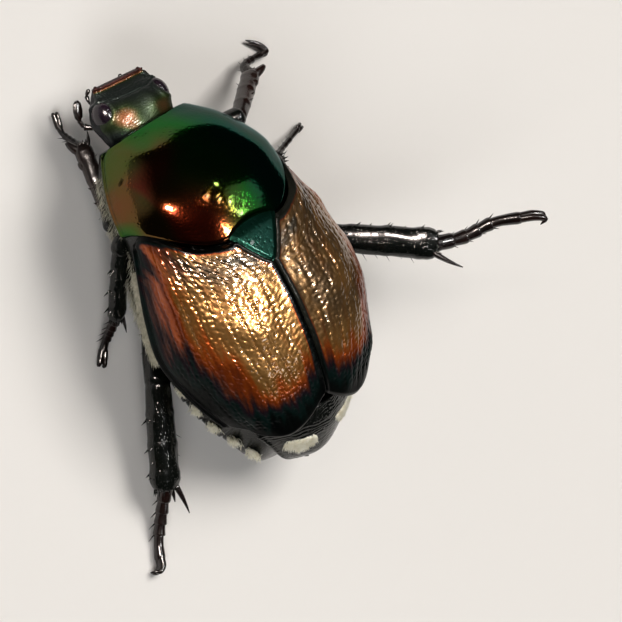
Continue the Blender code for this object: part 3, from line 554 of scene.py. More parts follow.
for side, name in SIDES:
    t = np.linspace(0.0, 1.0, CASE_COLUMNS)[None, :]
    base_share = share_at(ELYTRA, 0.7, LOBE_L) * (1 - t) + t
    start = hind_edge(arch(ELYTRA, 1.0, base_share)[..., 1]) - CASE_START - SHOULDER_BACK * t**5
    bulge = np.sin(np.pi * np.minimum(1.0, t * 1.25)) ** 0.6
    end = APEX_SUTURE_F + (APEX_SIDE_F - APEX_SUTURE_F) * t**3 + (APEX_F - APEX_SUTURE_F) * bulge
    end += 0.28 * smooth(t, 0.78, 1.0)
    f = start + (end - start) * np.linspace(0.0, 1.0, CASE_ROWS)[:, None]
    beside_scutellum = np.where(f > SCUTELLUM_TIP_F - 0.25, scutellum_half(f) + 0.02, SEAM_HALF_GAP)
    low = share_at(ELYTRA, f, np.maximum(SEAM_HALF_GAP, beside_scutellum))
    case = arch(ELYTRA, f, low + (1 - low) * t)
    down, wide = run_lengths(case, 0), run_lengths(case, 1)
    to_edge, to_apex = wide[:, -1:] - wide, down[-1:] - down
    # Ten rows of pits in shallow furrows, each pit moved a little at random, and stray pits between them.
    number = np.clip(np.round((t - ROW_START) / ROW_STEP), 0, ROW_COUNT - 1).astype(int)
    shifts = np.random.default_rng(21).random((ROW_COUNT, 64))
    aside = (t - ROW_START - ROW_STEP * number) * wide[:, -1:]
    step = np.round(down / PIT_STEP).astype(int)
    moved = (shifts[number, step % 64] - 0.5) * 0.05
    behind = down - step * PIT_STEP - moved
    fades = smooth(down, 0.10, 0.35) * smooth(to_apex, 0.12, 0.70) * smooth(to_edge, 0.10, 0.90)
    height = -PIT_DEPTH * np.exp(-(np.hypot(aside + moved * 0.4, behind) / PIT_RADIUS) ** 2) * fades
    height -= 0.006 * np.exp(-(aside / 0.045) ** 2) * fades
    near, own = pits(wide, down, STRAY_SPACING, 30 + side, 0.75)
    height -= (0.006 + 0.010 * own) * np.exp(-(near / STRAY_RADIUS) ** 2) * fades
    # Fine waves between the pits break the gloss into sparks.
    height += (0.0034 * swell(wide, down, 0.14, 14) + 0.0034 * swell(wide, down, 0.22, 15)) * fades
    # The raised seam, the bead of the side edge with its groove, the humps of the shoulder and the apex, an
    # uneven back, and the base and the apex turned down.
    height += 0.035 * np.exp(-((wide - 0.05) / 0.06) ** 2)
    height += 0.035 * np.exp(-((to_edge - 0.05) / 0.05) ** 2) - 0.03 * np.exp(-((to_edge - 0.18) / 0.07) ** 2)
    height += 0.10 * np.exp(-(np.hypot(case[..., 0] - 0.25, (t - 0.70) * 3.2) / 0.38) ** 2)
    height += 0.09 * np.exp(-(np.hypot(case[..., 0] + 3.65, (t - 0.62) * 3.0) / 0.34) ** 2)
    height += 0.018 * swell(wide, down, 1.3, 12) * smooth(to_edge, 0.1, 0.5)
    height -= 0.10 * smooth(down, 0.16, 0.0)
    height -= 0.05 * smooth(to_apex, 0.10, 0.0)
    facing = normals(case)
    facing *= np.sign(facing[CASE_ROWS // 2, CASE_COLUMNS // 4, 2])
    case = case + facing * height[..., None]
    # The suture's edge turns down between the cases, and the side edge folds under.
    seam = np.repeat(case[:, :1], 3, axis=1)
    seam[..., 2] -= np.array([0.16, 0.09, 0.03])
    seam[..., 1] -= np.array([0.000, 0.000, 0.004])
    under = fold_under(case[:, -1], 1, 0.06, 0.34, 0.20)
    sheet = np.concatenate([seam, case, under], axis=1)
    sheet[..., 1] *= side
    # How dark each place is: along the side, wider towards the apex, at the apex, the base and the seam.
    wobble = 0.12 * swell(wide, down, 0.9, 17)
    side_band = 0.02 + 0.98 * smooth(-case[..., 0], 0.0, 3.3)
    dark = 1 - np.prod([
        1 - np.clip((side_band + wobble - to_edge + 1.85) / 2.4, 0.0, 1.0),
        1 - np.clip((0.42 + wobble - to_apex + 1.30) / 1.6, 0.0, 1.0),
        1 - smooth(0.14 + wobble * 0.4 - down, -0.16, 0.05),
        1 - smooth(0.085 + 0.07 * smooth(-case[..., 0], 0.0, 3.5) - wide, -0.10, 0.02),
    ], axis=0)
    # Painted shade: the right case is darker along its inner half too.
    grey_and_shade_mask = 0.9 * smooth(1.75 - down, 0.0, 1.1) * smooth(0.74 - t, 0.0, 0.25) * smooth(down, 0.1, 0.5)
    if side < 0:
        grey_and_shade_mask = np.maximum(grey_and_shade_mask, 0.70 * smooth(0.70 - t, 0.0, 0.35) * smooth(case[..., 0] + 3.6, 0.0, 1.5))
    dark, grey_and_shade_mask = (np.concatenate([np.repeat(values[:, :1], seam.shape[1], axis=1), values,
                                   np.repeat(values[:, -1:], under.shape[1], axis=1)], axis=1)
                   for values in (dark, grey_and_shade_mask))
    piece = make_piece(f"wing_case_{name}", [grid_part(sheet)], [wing_case], [f"elytron_{name}"])
    paint(piece, "margin", dark)
    paint(piece, "grey_and_shade", grey_and_shade_mask)
    lay_map(piece, run_lengths(sheet, 1), run_lengths(sheet, 0))
    thicken(piece, PLATE)


# Head
# The head capsule with its broad flat clypeus in front: one hard hollow piece of green chitin, densely and
# finely punctured, coppery beside the eyes and reddish brown along the turned-up front rim.

NECK = (4.00, -0.08, 1.75)
HEAD_TURN = math.radians(-5.0)
HEAD = (  # place forward, half width, height of the top, height of the underside, squareness
    (-0.30, 0.96, 0.16, -0.72, 2.3),
    (0.16, 1.11, 0.23, -0.80, 2.5),
    (0.42, 1.14, 0.23, -0.92, 2.6),
    (0.70, 1.06, 0.14, -0.94, 2.7),
    (0.95, 0.93, -0.03, -0.88, 2.8),
    (1.15, 0.84, -0.20, -0.70, 3.0),
    (1.30, 0.76, -0.28, -0.56, 3.4),
)
EYE_AT, EYE_RIM = (0.58, 0.87, -0.25), 0.37
HEAD_PIT_SPACING = 0.062


def head_place(points):
    """Turns places in the head's own frame, forward, left and up from the neck, into the beetle's frame."""
    h, s, w = np.moveaxis(np.asarray(points, float), -1, 0)
    a = HEAD_TURN * np.clip(h / 0.5, 0.0, 1.0)
    f = h * np.cos(a) - s * np.sin(a) + NECK[0]
    return np.stack([f, h * np.sin(a) + s * np.cos(a) + NECK[1], w + NECK[2]], -1)


def oval_ring(half_wide, half_high, square, count):
    """Points round a superellipse, as distances aside and up."""
    a = np.linspace(0.0, 2 * np.pi, count, endpoint=False)
    x = np.sign(np.cos(a)) * np.abs(np.cos(a)) ** (2 / square)
    y = np.sign(np.sin(a)) * np.abs(np.sin(a)) ** (2 / square)
    return np.asarray(half_wide) * x, np.asarray(half_high) * y


HEAD_ROWS, HEAD_ROUND = 210, 300
h = np.linspace(HEAD[0][0], HEAD[-1][0], HEAD_ROWS)
closing = np.linspace(0.0, np.pi / 2, 14)[1:-1]
h = np.concatenate([h, HEAD[-1][0] + 0.05 * np.sin(closing)])
shrink = np.concatenate([np.ones(HEAD_ROWS), np.cos(closing)])
half, top, under, square = along(HEAD, h).T
aside, up = oval_ring(half[:, None], ((top - under) / 2 * (0.25 + 0.75 * shrink))[:, None], square[:, None],
                      HEAD_ROUND)
capsule = np.stack([np.repeat(h[:, None], HEAD_ROUND, 1), aside * (0.9 + 0.1 * shrink)[:, None],
                    up + ((top + under) / 2)[:, None]], -1)
facing = normals(np.concatenate([capsule[:, -1:], capsule, capsule[:, :1]], axis=1))[:, 1:-1]
facing *= np.sign((facing[50, :, 2] * (capsule[50, :, 2] + 0.35)).sum())
over = smooth(facing[..., 2], 0.1, 0.5)
x, y = capsule[..., 1], capsule[..., 0]
near, own = pits(x, y, HEAD_PIT_SPACING, 40, 1.0)
rough = 0.5 + 0.9 * smooth(y, 0.55, 1.0)
height = -(0.004 + 0.005 * own) * rough * np.exp(-(near / 0.022) ** 2) * over * smooth(1.28 - y, 0.0, 0.08)
# The clypeus's front and side rims, the seam behind it, low humps inside the eyes, and an uneven crown.
height += 0.060 * np.exp(-((y - 1.270) / 0.035) ** 2) * over
height += 0.050 * np.exp(-((np.abs(x) - half[:, None] + 0.06) / 0.05) ** 2) * smooth(y, 0.72, 0.95) * over
height -= 0.018 * np.exp(-((y - 0.84 - 0.12 * x**2) / 0.028) ** 2) * over
height += 0.030 * np.exp(-(np.hypot(np.abs(x) - 0.42, y - 0.62) / 0.22) ** 2) * over
height += 0.012 * swell(x, y, 0.7, 44) * over
# The low rim round each eye, and the ridge that runs over its front.
to_eye = np.linalg.norm(np.stack([y, np.abs(x), capsule[..., 2]], -1) - EYE_AT, axis=-1)
height += 0.040 * np.exp(-((to_eye - EYE_RIM) / 0.07) ** 2)
height += 0.055 * np.exp(-(np.hypot((np.abs(x) - 1.02) / 1.4, (y - 0.90) / 0.8) / 0.10) ** 2)
capsule = capsule + facing * height[..., None]

# The same layered chitin, but so finely pitted that its mirror is blurred.
head_shell, tree, shader = new_material(
    "punctured_head_chitin", Metallic=0.60, Roughness=0.40, Specular_Tint=hex_colour("#8890A0"),
    Coat_Weight=0.20, Coat_Roughness=0.16, Coat_IOR=1.45,
)
hue = add(tree, "Attribute", attribute_name="hue")
spot = add(tree, "TexCoord")
cloud = add(tree, "TexNoise", [("Vector", spot.outputs["Object"]), ("Scale", 1600.0), ("Detail", 4.0)])
shifted = add(tree, "Math", [(0, cloud.outputs["Fac"]), (1, 0.20), (2, -0.10)], operation="MULTIPLY_ADD")
mixed_hue = add(tree, "Math", [(0, hue.outputs["Fac"]), (1, shifted.outputs[0])], operation="ADD")
colours = add(tree, "ValToRGB", [("Fac", mixed_hue.outputs[0])], stops=(
    (0.0, "#0B0C0E"), (1.0, "#300C0C"), (0.22, "#262C28"), (0.40, "#263014"), (0.60, "#5C361A"),
    (0.78, "#3A1A14"),
))
tree.links.new(colours.outputs["Color"], shader.inputs["Base Color"])
grain = add(tree, "TexVoronoi", [("Vector", spot.outputs["Object"]), ("Scale", 22000.0)])
relief = add(tree, "Bump", [("Strength", 0.2), ("Distance", 0.000008), ("Height", grain.outputs["Distance"])])
tree.links.new(relief.outputs["Normal"], shader.inputs["Normal"])

# Green over the crown, darker on the clypeus, copper beside the eyes and red brown on the front rim, black
# low on the left cheek behind the eye as painted shadow, and dull black underneath.
head_hue = 0.34 - 0.12 * smooth(y, 0.35, 0.80) + 0.30 * np.exp(-(np.hypot(x - 0.55, y - 0.30) / 0.34) ** 2)
head_hue += 0.18 * np.exp(-(np.hypot(x + 0.62, y - 0.18) / 0.30) ** 2) + 0.6 * smooth(y, 1.14, 1.27)
# Painted shadow: the left cheek, low behind the eye, darkened towards black.
head_hue = head_hue * (1 - 0.85 * smooth(0.34 - y, 0.0, 0.45) * smooth(x, 0.35, 0.95))
head_hue = np.where(over > 0.3, head_hue, 0.05)
head = make_piece("head_capsule", [grid_part(head_place(capsule), True, True)], [head_shell],
                  ["head"])
paint(head, "hue", np.concatenate([head_hue.ravel(), [0.05, 0.9]]))


# Eyes
# Two round compound eyes, each a dome of many hundred lenses of clear chitin over dark pigment, set in the
# sides of the head, with the head's rim running a little way over their front.

EYE_SHAPE = (0.39, 0.29, 0.34)  # half length, half width and half height

# Clear lenses over purplish black pigment: a soft deep gloss with one sharp glint.
eye_glass, tree, shader = new_material("compound_eye_lenses", Roughness=0.20, IOR=1.50)
spot = add(tree, "TexCoord")
cloud = add(tree, "TexNoise", [("Vector", spot.outputs["Object"]), ("Scale", 2500.0), ("Detail", 3.0)])
colours = add(tree, "ValToRGB", [("Fac", cloud.outputs["Fac"])],
              stops=((0.3, "#120A12"), (0.75, "#2C1C2A")))
tree.links.new(colours.outputs["Color"], shader.inputs["Base Color"])
# The lenses are about 0.02 mm across.
lens = add(tree, "TexVoronoi", [("Vector", spot.outputs["Object"]), ("Scale", 42000.0), ("Randomness", 0.3)])
relief = add(tree, "Bump", [("Strength", 0.35), ("Distance", 0.000006), ("Height", lens.outputs["Distance"])],
             invert=True)
tree.links.new(relief.outputs["Normal"], shader.inputs["Normal"])


def ball(centre, radii):
    """A closed ball round its centre: sixty circles of latitude between two poles."""
    a = np.linspace(0.0, np.pi, 62)[1:-1, None]
    b = np.linspace(0.0, 2 * np.pi, 90, endpoint=False)[None, :]
    unit_ball = np.stack([np.sin(a) * np.cos(b), np.sin(a) * np.sin(b), np.cos(a) * np.ones_like(b)], -1)
    return np.asarray(centre) + unit_ball * radii


for side, name in SIDES:
    centre = head_place((EYE_AT[0], side * EYE_AT[1], EYE_AT[2]))
    eye = grid_part(ball(centre, EYE_SHAPE), True, True)
    make_piece(f"eye_{name}_dome", [eye], [eye_glass], [f"eye_{name}"])


# Feelers and mouthparts
# Each feeler is a stalk of small joints with a club of three flat leaves, folded shut beside the head. Under
# the clypeus are the upper lip, the jaws' hard outer plates and the jointed palps.

# Thick black chitin, as smooth as lacquer between its fine punctures: black with small hard glints.
black_shell, tree, shader = new_material(
    "polished_black_chitin", Roughness=0.17, IOR=1.45, Specular_IOR_Level=0.36,
)
spot = add(tree, "TexCoord")
cloud = add(tree, "TexNoise", [("Vector", spot.outputs["Object"]), ("Scale", 1200.0), ("Detail", 5.0)])
colours = add(tree, "ValToRGB", [("Fac", cloud.outputs["Fac"])], stops=(
    (0.30, "#060806"), (0.80, "#16120C"), (0.55, "#0A0D0A")))
tree.links.new(colours.outputs["Color"], shader.inputs["Base Color"])
# Fine punctures about 0.06 mm apart.
grain = add(tree, "TexVoronoi", [("Vector", spot.outputs["Object"]), ("Scale", 15000.0)])
dimple = add(tree, "MapRange", [("Value", grain.outputs["Distance"]), ("From Min", 0.0), ("From Max", 0.35)])
relief = add(tree, "Bump", [("Strength", 0.5), ("Distance", 0.000015), ("Height", dimple.outputs["Result"])])
tree.links.new(relief.outputs["Normal"], shader.inputs["Normal"])


def brown_chitin(name, dark, light):
    """Thin brown chitin, as on the feet: a soft gloss, and a faint mottle where light comes through it."""
    made, tree, shader = new_material(name, Roughness=0.22, IOR=1.45)
    spot = add(tree, "TexCoord")
    cloud = add(tree, "TexNoise", [("Vector", spot.outputs["Object"]), ("Scale", 1500.0), ("Detail", 4.0)])
    colours = add(tree, "ValToRGB", [("Fac", cloud.outputs["Fac"])], stops=((0.30, dark), (0.75, light)))
    tree.links.new(colours.outputs["Color"], shader.inputs["Base Color"])
    grain = add(tree, "TexNoise", [("Vector", spot.outputs["Object"]), ("Scale", 20000.0), ("Detail", 2.0)])
    relief = add(tree, "Bump", [("Strength", 0.3), ("Distance", 0.000010), ("Height", grain.outputs["Fac"])])
    tree.links.new(relief.outputs["Normal"], shader.inputs["Normal"])
    return made


foot_shell = brown_chitin("red_brown_chitin", "#080403", "#1C0C08")
shin_shell = brown_chitin("dark_brown_chitin", "#0C0706", "#28140E")

FEELER_ROOT, FEELER_KNOB, CLUB_ROOT, CLUB_TIP = (
    (0.42, 0.98, -0.70), (0.56, 1.17, -0.88), (0.76, 1.21, -0.88), (1.24, 1.06, -0.84))


def smooth_path(points, count):
    """Evenly spaced points on a smooth curve through a few given ones."""
    given = np.array(points, float)
    reach = np.concatenate([[0.0], np.cumsum(np.linalg.norm(np.diff(given, axis=0), axis=1))])
    return along(np.column_stack([reach, given]), np.linspace(0.0, reach[-1], count))


def tube(path, half_wide, half_thick, across, count=20, square=2.0):
    """Rings of oval section along a path; across gives the way that the width lies."""
    ahead = np.gradient(path, axis=0)
    ahead /= np.linalg.norm(ahead, axis=1, keepdims=True)
    across = np.asarray(across, float)
    wide = across - ahead * (ahead @ across)[:, None]
    wide /= np.linalg.norm(wide, axis=1, keepdims=True)
    thick = np.cross(ahead, wide)
    x, y = oval_ring(np.reshape(half_wide, (-1, 1)) * np.ones((len(path), 1)),
                     np.reshape(half_thick, (-1, 1)) * np.ones((len(path), 1)), square, count)
    return path[:, None] + x[..., None] * wide[:, None] + y[..., None] * thick[:, None]


def line(start, end, count):
    """Evenly spaced points from start to end."""
    s = np.linspace(0.0, 1.0, count)[:, None]
    return np.asarray(start, float) * (1 - s) + np.asarray(end, float) * s


def shaped(stations, count):
    """Sizes along a piece, read from a row of (share of its length, size)."""
    x, y = np.array(stations, float).T
    return np.interp(np.linspace(0.0, 1.0, count), x, y)


for side, name in SIDES:
    root, knob, club, tip = (head_place((h, side * s, w)) for h, s, w in
                             (FEELER_ROOT, FEELER_KNOB, CLUB_ROOT, CLUB_TIP))
    stalk = shaped(((0, 0.04), (0.1, 0.055), (0.7, 0.08), (0.9, 0.095), (1, 0.03)), 20)
    parts = [grid_part(tube(line(root, knob, 20), stalk, stalk, (0, 0, 1)), True, True)]
    for i in range(5):
        bead = line(knob + (club - knob) * (i / 5 - 0.05), knob + (club - knob) * ((i + 1) / 5 + 0.04), 8)
        half = shaped(((0, 0.02), (0.3, 0.052), (0.7, 0.060), (1, 0.02)), 8) * (1 + 0.05 * i)
        parts.append(grid_part(tube(bead, half, half, (0, 0, 1), 14), True, True))
    for i in (-1, 0, 1):
        leaf = line(club + np.array([0, 0, 0.055 * i]), tip + np.array([0, 0, 0.050 * i]), 16)
        half = shaped(((0, 0.02), (0.12, 0.085), (0.5, 0.115), (0.85, 0.09), (1, 0.02)), 16)
        thin = shaped(((0, 0.01), (0.15, 0.030), (0.85, 0.028), (1, 0.01)), 16)
        parts.append(grid_part(tube(leaf, half, thin, np.cross(tip - club, (0, 0, 1)), 16), True, True))
    make_piece(f"feeler_{name}", parts, [foot_shell], [f"antenna_{name}"])

parts = []
lip = line(head_place((1.02, 0.0, -0.66)), head_place((1.27, 0.0, -0.60)), 14)
parts.append(grid_part(tube(lip, shaped(((0, 0.42), (0.8, 0.40), (1, 0.20)), 14),
                            shaped(((0, 0.09), (0.8, 0.07), (1, 0.02)), 14), (0, 1, 0), 28, 2.8), True, True))
for side in (1, -1):
    jaw = smooth_path(head_place([(0.60, side * 0.62, -0.72), (0.95, side * 0.60, -0.74),
                                  (1.24, side * 0.38, -0.66)]), 20)
    half = shaped(((0, 0.16), (0.5, 0.15), (0.9, 0.09), (1, 0.03)), 20)
    parts.append(grid_part(tube(jaw, half, half * 0.8, (0, 0, 1)), True, True))
    palp = head_place([(0.86, side * 0.52, -0.84), (1.06, side * 0.66, -0.98), (1.24, side * 0.62, -1.02),
                       (1.36, side * 0.50, -0.98)])
    for start, end in zip(palp, palp[1:]):
        half = shaped(((0, 0.025), (0.25, 0.048), (0.8, 0.060), (1, 0.025)), 9)
        parts.append(grid_part(tube(line(start, end + (end - start) * 0.06, 9), half, half, (0, 0, 1), 12),
                               True, True))
make_piece("mouthparts", parts, [foot_shell])


# Breast
# The underside of the thorax: plates of thick black chitin grown into one box that carries the legs, with a
# keel between the middle legs. Its roof stays under the pronotum and the wing cases.

TRUNK = (  # place forward, half width, height of the widest line, height of the underside
    (3.90, 1.10, 1.15, 0.66),
    (3.20, 1.55, 1.12, 0.34),
    (2.20, 1.80, 1.15, 0.10),
    (1.30, 1.98, 1.20, 0.02),
    (0.60, 2.22, 1.20, 0.00),
    (-0.30, 2.38, 1.12, 0.00),
    (-1.40, 2.48, 1.05, 0.05),
    (-2.40, 2.46, 1.12, 0.12),
    (-3.50, 2.22, 1.18, 0.28),
    (-4.50, 1.74, 1.36, 0.58),
    (-5.20, 1.34, 1.30, 0.84),
)
WAIST_F = -0.85
UNDER_PLATES = 0.24


def trunk_rings(stations, lean=0.0):
    """Sections of the trunk: a rounded underside, sides up to the plates' edges, and a dome under them."""
    width, widest, bottom = along(TRUNK, stations).T[:, :, None]
    front, hind = along(PRONOTUM, np.maximum(stations, 0.5)), along(ELYTRA, np.minimum(stations, 1.4))
    share = smooth(stations, 0.4, 1.2)[:, None]
    between = 4 * share * (1 - share)
    roof = np.minimum(front, hind) * between + (front * share + hind * (1 - share)) * (1 - between)
    span, edge, ridge = roof[:, 0:1] - UNDER_PLATES, roof[:, 1:2] - 0.10, roof[:, 2:3] - UNDER_PLATES
    a = np.linspace(0.0, np.pi / 2, 40)[None, :]
    low_l, low_u = width * np.sin(a), widest - (widest - bottom) * np.cos(a) ** 0.8
    b = np.linspace(0.0, np.pi / 2, 30)[None, :]
    top_l, top_u = np.maximum(span, 0.3) * np.cos(b) ** 0.9, edge + (ridge - edge) * np.sin(b) ** 0.9
    l = np.concatenate([low_l, top_l, -top_l[:, -2::-1], -low_l[:, :0:-1]], axis=1)
    u = np.concatenate([low_u, top_u, top_u[:, -2::-1], low_u[:, :0:-1]], axis=1)
    return np.stack([stations[:, None] + np.asarray(lean).reshape(-1, 1) * (u - widest), l, u], -1)


breast = trunk_rings(np.linspace(3.84, WAIST_F, 120))
keel_path = smooth_path([(2.15, 0, 0.10), (1.90, 0, 0.06), (0.90, 0, 0.08), (-0.40, 0, 0.15)], 40)
keel = tube(keel_path, shaped(((0, 0.06), (0.1, 0.20), (0.5, 0.30), (1, 0.20)), 40),
            shaped(((0, 0.06), (0.1, 0.20), (0.5, 0.24), (1, 0.20)), 40), (0, 1, 0))
make_piece("breast", [grid_part(breast, True, True), grid_part(keel, True, True)], [black_shell],
           ["thorax"])


# Belly
# The ringed abdomen under the wing cases, of black chitin: each ring's hind edge stands a little over the
# next, the last rings lean back under the last plate, and the end is rounded off.

RING_LENGTH = 0.60
BELLY_END_F, BELLY_ROUNDED = -4.75, 0.18
LEAN = ((3.40, 0.0), (3.70, 0.08), (3.98, 0.22), (4.20, 0.34), (4.40, 0.42), (4.75, 0.45))

closing = np.linspace(0.0, np.pi / 2, 10)[1:]
stations = np.concatenate([np.linspace(WAIST_F, -3.40, 130), np.linspace(-3.42, BELLY_END_F, 70),
                           BELLY_END_F - BELLY_ROUNDED * np.sin(closing)])
belly = trunk_rings(stations, np.interp(-stations, *np.array(LEAN).T))
phase = np.mod((WAIST_F - stations) / RING_LENGTH, 1.0)[:, None]
proud = 0.040 * phase**2 - 0.05 * np.exp(-((phase - 0.02) / 0.04) ** 2)
proud = proud * smooth(1.9 - belly[..., 2], 0.0, 0.3)
over_centre = belly[..., 2] - along(TRUNK, stations)[:, 1:2]
belly[..., 1] *= 1 + proud * 0.35
belly[..., 2] += proud * np.sign(over_centre) * smooth(np.abs(over_centre), 0, 0.5)
rounded = belly[-len(closing):]
middle = rounded.mean(axis=1, keepdims=True)
belly[-len(closing):] = middle + (rounded - middle) * (0.72 + 0.28 * np.cos(closing))[:, None, None]
make_piece("belly", [grid_part(belly, True, True)], [black_shell], ["abdomen"])


# Last plate
# The pygidium that the wing cases leave bare: one plate of the same black chitin, finely wrinkled across,
# with its upper edge tucked under them.

PYGIDIUM_RIDGE = ((0.0, -4.72, 2.62), (0.35, -5.06, 2.28), (0.7, -5.42, 1.72), (1.0, -5.50, 1.18))
TUCKED = 0.28
WRINKLE_TURN = 56.0  # radians of a wrinkle in each millimetre: one wrinkle every 0.11 mm


def pygidium_point(s, t):
    """A point of the last plate: s runs from its top edge to its tip, t from the right side to the left."""
    f, u = np.moveaxis(along(PYGIDIUM_RIDGE, np.maximum(s, 0.0)), -1, 0)
    half = 1.62 * np.clip(1 - s, 0.0, 1.0) ** 0.55 + 0.12
    tuck = np.minimum(s, 0.0)
    return np.stack([f + 0.26 * t * t * half - tuck * 1.3, half * t * (1 + 0.10 * tuck),
                     u - 0.34 * t * t * half - tuck * 0.9], -1)


s, t = np.meshgrid(np.linspace(-TUCKED, 1.0, 190), np.linspace(-1.0, 1.0, 220), indexing="ij")
plate = pygidium_point(s, t)
down = run_lengths(plate, 0)
# Wrinkles about 0.11 mm apart that wander up and down, a bead along each side, and the swollen tip.
wander = 4.0 * swell(plate[..., 1], down, 0.5, 51)
wrinkle = swell(plate[..., 1] * 0.5, down, 0.11, 50) + np.sin(down * WRINKLE_TURN + wander)
facing = normals(plate)
facing *= -np.sign(facing[120, 110, 0])
height = 0.0022 * wrinkle + 0.03 * np.exp(-((np.abs(t) - 0.97) / 0.03) ** 2)
height += 0.03 * np.exp(-(np.hypot(plate[..., 1], (s - 0.75) * 2.5) / 0.45) ** 2)
plate = plate + facing * height[..., None]
pygidium = make_piece("last_plate", [grid_part(plate)], [black_shell], ["pygidium"])
thicken(pygidium, 0.12)


# White spots and fringes
# The two spots of dense cream white hair on the last plate that name the species, five tufts along each side
# of the belly, and thinner pale hair on the sides of the breast. Each hair is a tapered bristle of chitin.


def hair_chitin(name, roughness, dark, light):
    """Colourless chitin full of air, which scatters light: matt, and a little uneven from hair to hair."""
    made, tree, shader = new_material(name, Roughness=roughness, IOR=1.5)
    spot = add(tree, "TexCoord")
    cloud = add(tree, "TexNoise", [("Vector", spot.outputs["Object"]), ("Scale", 6000.0), ("Detail", 2.0)])
    colours = add(tree, "ValToRGB", [("Fac", cloud.outputs["Fac"])], stops=((0.3, dark), (0.7, light)))
    tree.links.new(colours.outputs["Color"], shader.inputs["Base Color"])
    return made


cream_hair = hair_chitin("cream_chitin_hair", 0.55, "#DAD4B8", "#F8F5E8")
grey_hair = hair_chitin("pale_chitin_hair", 0.45, "#8E8A72", "#D2CDB8")


def hair_part(roots, tips, radius, bend):
    """Three-sided tapered hairs from roots to tips, each bowed at its middle by its bend."""
    s = np.array([0.0, 0.35, 0.70])[None, :, None, None]
    ahead = tips - roots
    ahead = ahead / np.linalg.norm(ahead, axis=1, keepdims=True)
    wide = np.cross(ahead, [0.37, 0.61, 0.70])
    wide /= np.linalg.norm(wide, axis=1, keepdims=True)
    thick = np.cross(ahead, wide)
    a = np.radians([0.0, 120.0, 240.0])[None, None, :, None]
    across = np.cos(a) * wide[:, None, None] + np.sin(a) * thick[:, None, None]
    middle = roots[:, None, None] * (1 - s) + tips[:, None, None] * s + bend[:, None, None] * 4 * s * (1 - s)
    rings = middle + across * np.reshape(radius, (-1, 1, 1, 1)) * (1 - 0.75 * s)
    corners = np.concatenate([rings.reshape(-1, 9, 3), tips[:, None]], axis=1)
    side_faces = [(3 * i + j, 3 * i + (j + 1) % 3, 3 * i + 3 + (j + 1) % 3, 3 * i + 3 + j)
                  for i in (0, 1) for j in range(3)]
    end_faces = [(6 + j, 6 + (j + 1) % 3, 9) for j in range(3)] + [(2, 1, 0)]
    start = (np.arange(len(roots)) * 10)[:, None, None]
    return (corners.reshape(-1, 3), (np.array(side_faces)[None] + start).reshape(-1, 4),
            (np.array(end_faces)[None] + start).reshape(-1, 3))


def lay_bake_map(piece, u, v):
    """The OFBake map: each hair is a patch 0.003 across at its root's place u, v on the unwrapped skin."""
    corner = np.empty(len(piece.data.loops), int)
    piece.data.loops.foreach_get("vertex_index", corner)
    ring = np.array([(0, 0), (1, 0), (0, 1)])
    one_hair = np.concatenate([ring, ring + 0.3, ring + 0.6, [(2, 2)]]) * 0.0015
    place_of = np.repeat(np.stack([u, v], -1), 10, axis=0) * 0.98 + 0.008 + np.tile(one_hair, (len(u), 1))
    piece.data.uv_layers.new(name="OFBake").data.foreach_set("uv", place_of[corner].ravel())


def hair_piece(name, roots, ways, length, radius, material, u, v, seed, spread):
    """Hairs that grow from their roots along their ways, each turned at random by the spread, and bowed."""
    rng = np.random.default_rng(seed)
    ways = ways / np.linalg.norm(ways, axis=1, keepdims=True) + rng.normal(0, spread, ways.shape)
    ways /= np.linalg.norm(ways, axis=1, keepdims=True)
    lengths = length * rng.uniform(0.7, 1.15, (len(roots), 1))
    bend = rng.normal(0, 0.06, ways.shape) * lengths
    tips = roots + ways * lengths
    tips[:, 2] = np.maximum(tips[:, 2], 0.03 - FLOOR_DEPTH)
    part = hair_part(roots, tips, radius * rng.uniform(0.8, 1.2, len(roots)), bend)
    lay_bake_map(make_piece(name, [part], [material]), u, v)


# Where the left and right spots lie, as shares of the plate's length and half width.
SPOTS, SPOT_HAIRS = {1: (0.38, 0.50), -1: (0.23, 0.61)}, 1100
SPOT_HALVES = (0.125, 0.30)  # half length along the plate and half width across it, as the same shares
CREAM_HAIR_RADIUS = 0.0135
for side, name in SIDES:
    rng = np.random.default_rng(70 + side)
    turn, reach = rng.uniform(0, 2 * np.pi, SPOT_HAIRS), np.sqrt(rng.uniform(0, 1, SPOT_HAIRS))
    edge = 1 + 0.15 * np.sin(3 * turn + 1) + 0.10 * np.sin(5 * turn + side)
    s = SPOTS[side][0] + SPOT_HALVES[0] * reach * edge * np.cos(turn)
    t = side * (SPOTS[side][1] + SPOT_HALVES[1] * reach * edge * np.sin(turn))
    roots = pygidium_point(s, t)
    lie = pygidium_point(s + 0.02, t * 1.012) - roots
    out = np.cross(lie, pygidium_point(s, t + 0.02) - roots)
    out /= np.linalg.norm(out, axis=1, keepdims=True)
    out *= -np.sign(out[:, :1])
    lie /= np.linalg.norm(lie, axis=1, keepdims=True)
    hair_piece(f"white_spot_{name}", roots - out * 0.01, lie + out * 0.30, 0.19, CREAM_HAIR_RADIUS,
               cream_hair, (t + 1) / 2, s, 80 + side, 0.16)

# The five tufts along each side of the belly.
TUFTS_F = (-2.30, -2.92, -3.52, -4.10, -4.62)
TUFT_HAIRS = 230
for side, name in SIDES:
    rng = np.random.default_rng(90 + side)
    spread_f, spread_u = rng.normal(0, 0.075, (5, TUFT_HAIRS)), rng.normal(0, 0.055, (5, TUFT_HAIRS))
    f = (np.array(TUFTS_F)[:, None] + spread_f).ravel()
    width, widest, _ = along(TRUNK, f).T
    u = widest + 0.04 + spread_u.ravel()
    roots = np.stack([f, side * (width - 0.03), u], -1)
    ways = np.stack([np.full(len(f), -0.55), np.full(len(f), side * 0.60), 0.25 + spread_u.ravel() * 4], -1)
    hair_piece(f"side_tufts_{name}", roots, ways, 0.20, CREAM_HAIR_RADIUS, cream_hair, (f + 5) / 6,
               np.clip(u, 0, 2) / 2, 100 + side, 0.22)

